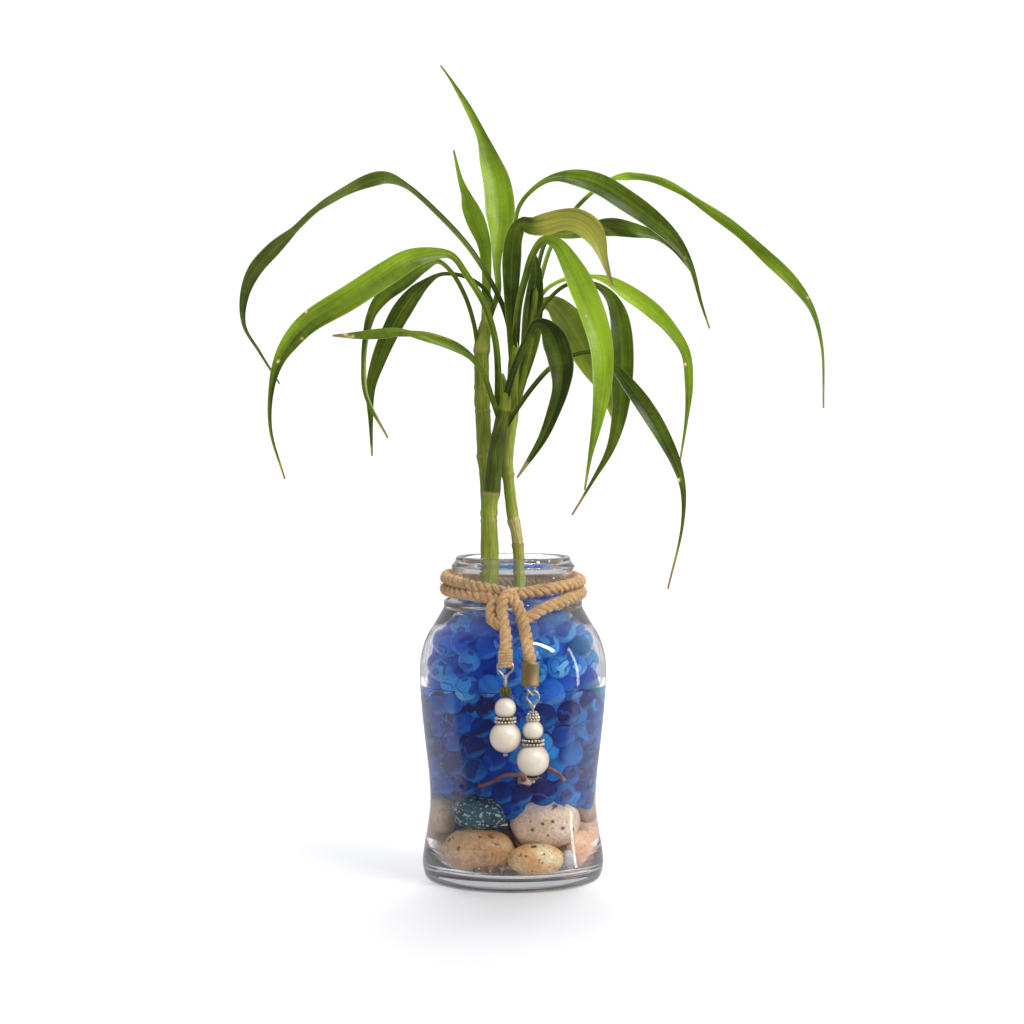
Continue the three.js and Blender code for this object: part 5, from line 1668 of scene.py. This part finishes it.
def ringOfGrains(radius, up, size, count, start=0.0):
    parts = []
    for i in range(count):
        turn = 2 * np.pi * (i + start) / count
        points, faces = ball(size, 12, 8)
        part = (points, faces, {"grain": 1.0})
        parts.append(moved(part, radius * math.cos(turn), up, radius * math.sin(turn)))
    return parts


def plainTurn(outline, sides):
    return (*closedTurn(outline, sides), {"grain": 0.0})


def grainedRing(radius, halfHeight, thickness):
    inner, wall, size = radius - thickness, radius - charms["ringWall"], charms["grainRadius"]
    outline = [
        (inner, -0.4 * halfHeight), (inner, -0.9 * halfHeight), (wall, -0.7 * halfHeight),
        (wall, 0.7 * halfHeight), (inner, 0.9 * halfHeight), (inner, 0.4 * halfHeight),
    ]
    reach, lift = radius - size, halfHeight * 0.5
    count = int(2 * np.pi * reach / charms["grainGap"])
    grains = ringOfGrains(reach, lift, size, count) + ringOfGrains(reach, -lift, size, count, 0.5)
    return [plainTurn(outline, 64), *grains]


def crystalShape():
    rows = [(0.9, -2.3), (2.3, -2.3), (3.2, -0.5), (3.2, 0.5), (2.3, 2.3), (0.9, 2.3)]
    rings = []
    for i in range(16):
        turn = np.pi * (i / 8 + 0.125 / 2)
        column = []
        for radius, up in rows:
            sharp = radius * (1.0 if i % 2 == 0 else 0.985) if radius > 1 else radius
            column.append([sharp * math.cos(turn), sharp * math.sin(turn), up])
        rings.append(column)
    return skinOver(np.array(rings), closed=True)


def leftWire():
    charm, depth = leftCharm, charms["depth"]
    a, foot, top = charm["across"], charm["loopFoot"], charm["loopTop"]
    half = [(0.6, foot - 1.4, 0), (1.6, foot + 0.6, 0), (3.5, foot + 2.6, 0), (3.4, top - 1, 0.4)]
    loop = [(a - out, up, depth + back) for out, up, back in half] + [(a, top, depth + 0.8)]
    loop += [(a + out, up, depth + back) for out, up, back in half[::-1]]
    radius, turns, steps = charm["shankRadius"], charm["shankTurns"], 18
    drop = foot - charm["shankFoot"] - 0.5
    shank = []
    for i in range(turns * steps + 1):
        turn, up = 2 * np.pi * i / steps, foot - drop * i / (turns * steps)
        shank.append([a + radius * math.cos(turn), depth + radius * math.sin(turn), up])
    parts = [wireAlong(loop, 120), rod(a, charm["shankFoot"], foot, radius), tube(shank, 0.4, 10)]
    return parts + pinBelow(charm, charm["pinTop"])


def rightLink():
    charm, depth = rightCharm, charms["depth"]
    a, t, cup, low = charm["across"], charm["tubeAcross"], charm["linkTop"], charm["eyeTop"] - 1.7
    return [wireAlong([
        (t - 2.2, cup, depth - 0.6), (t - 1.2, cup - 2.6, depth - 1.4), (a - 0.5, low, depth - 0.8),
        (a + 0.3, low, depth + 0.8), (a + 0.9, cup - 2.6, depth + 1.4), (t + 2.2, cup, depth + 0.6),
    ], 80)]


def rightPin():
    charm = rightCharm
    a, low, tall = charm["across"], charm["eyeFoot"], charm["eyeTop"] - charm["eyeFoot"]
    half = [(-0.6, -0.12), (-1.2, 0.12), (-2.9, 0.5), (-2, 0.88)]
    shares = [*half, (0, 1), *[(-side, share) for side, share in half[::-1]]]
    eye = [(a + side, low + tall * share, charms["depth"]) for side, share in shares]
    return [wireAlong(eye, 120), rod(a, *charm["collar"]), *pinBelow(charm, low)]


def pearlFinish():
    pearl, skin = newFinish(
        "pearl", Roughness=0.38, Coat_Weight=0.6, Coat_Roughness=0.22, Subsurface_Weight=0.2,
        Subsurface_Scale=0.002, Specular_IOR_Level=0.8)
    facing = addNode("ShaderNodeLayerWeight", None, Blend=0.35).outputs["Facing"]
    cloud = rangeOf(noiseAt(160.0, 3.0), 0.35, 0.65)
    base = blendColours(cloud, (0.63, 0.55, 0.44), (0.69, 0.63, 0.52))
    # painted shade: the pearl darkens to warm brown towards its outline
    base = blendColours(rangeOf(facing, 0.15, 0.95, 0.0, 0.85), base, (0.26, 0.17, 0.09))
    paint(skin, base)
    roughen(skin, noiseAt(900.0, 3.0), 0.00004, 0.4)
    return pearl


def crystalFinish():
    crystal, skin = newFinish("oliveCrystal", Roughness=0.02, IOR=1.6, Transmission_Weight=0.9)
    depths = noiseAt(300.0, 2.0)
    tone = blendColours(depths, (0.26, 0.27, 0.03), (0.50, 0.46, 0.10))
    paint(skin, tone)
    return crystal


def metalFinish(name):
    bright, dark, rough, grained = metals[name]
    metal, skin = newFinish(name, Metallic=0.8, Roughness=rough)
    worn = noiseAt(500.0, 4.0)
    tone = blendColours(rangeOf(worn, 0.35, 0.65), dark, bright)
    if grained:
        tone = blendColours(times(attribute("grain"), 0.9), (0.12, 0.09, 0.06), tone)
    paint(skin, tone)
    fill(skin.inputs["Roughness"], varied(worn, rough + 0.12, rough - 0.05))
    roughen(skin, worn, 0.00008, 0.5)
    return metal


def addCharms():
    pearl, crystal = pearlFinish(), crystalFinish()
    wire, silver, brass = (metalFinish(name) for name in metals)
    left, right = leftCharm["across"], rightCharm["across"]
    addPiece("left_wire", leftWire(), wire, "left_charm_wire")
    gem = standing(crystalShape(), left, leftCharm["crystal"])
    addPiece("green_crystal", [gem], crystal, "left_charm_crystal", 8)
    sides = {"left": leftCharm, "right": rightCharm}
    for hand, charm in sides.items():
        for size in ("small", "large"):
            up, radius = charm[f"{size}Pearl"]
            pearlPart = standing(pearlShape(radius), charm["across"], up)
            addPiece(f"{hand}_{size}_pearl", [pearlPart], pearl, f"{hand}_charm_{size}_pearl")
    for hand, charm in sides.items():
        up, *sizes = charm["ring"]
        ring = [standing(part, charm["across"], up) for part in grainedRing(*sizes)]
        addPiece(f"{hand}_grained_ring", ring, silver, f"{hand}_charm_ring")
    barrel = turned(metalShapes["tube"], 64)
    barrel = moved(barrel, rightCharm["tubeAcross"], rightCharm["tube"], rightCharm["tubeDepth"])
    addPiece("brass_tube", [barrel], brass, "right_charm_tube", 40)
    addPiece("wire_link", rightLink(), wire, "right_charm_link")
    addPiece("right_pin", rightPin(), wire, "right_charm_pin")
    cap, endCap = [plainTurn(metalShapes["cap"], 48)], [plainTurn(metalShapes["endCap"], 48)]
    for radius, up, size, count in metalShapes["capGrains"]:
        cap += ringOfGrains(radius, up, size, count, up * 0.45)
    for row in metalShapes["endGrains"]:
        endCap += ringOfGrains(*row)
    for name, parts, up, node in (
        ("grained_cap", cap, rightCharm["cap"], "right_charm_cap"),
        ("end_cap", endCap, rightCharm["endCap"], "right_charm_end_cap"),
    ):
        addPiece(name, [standing(part, right, up) for part in parts], silver, node)
    print("charms made")


addCord()
addCharms()
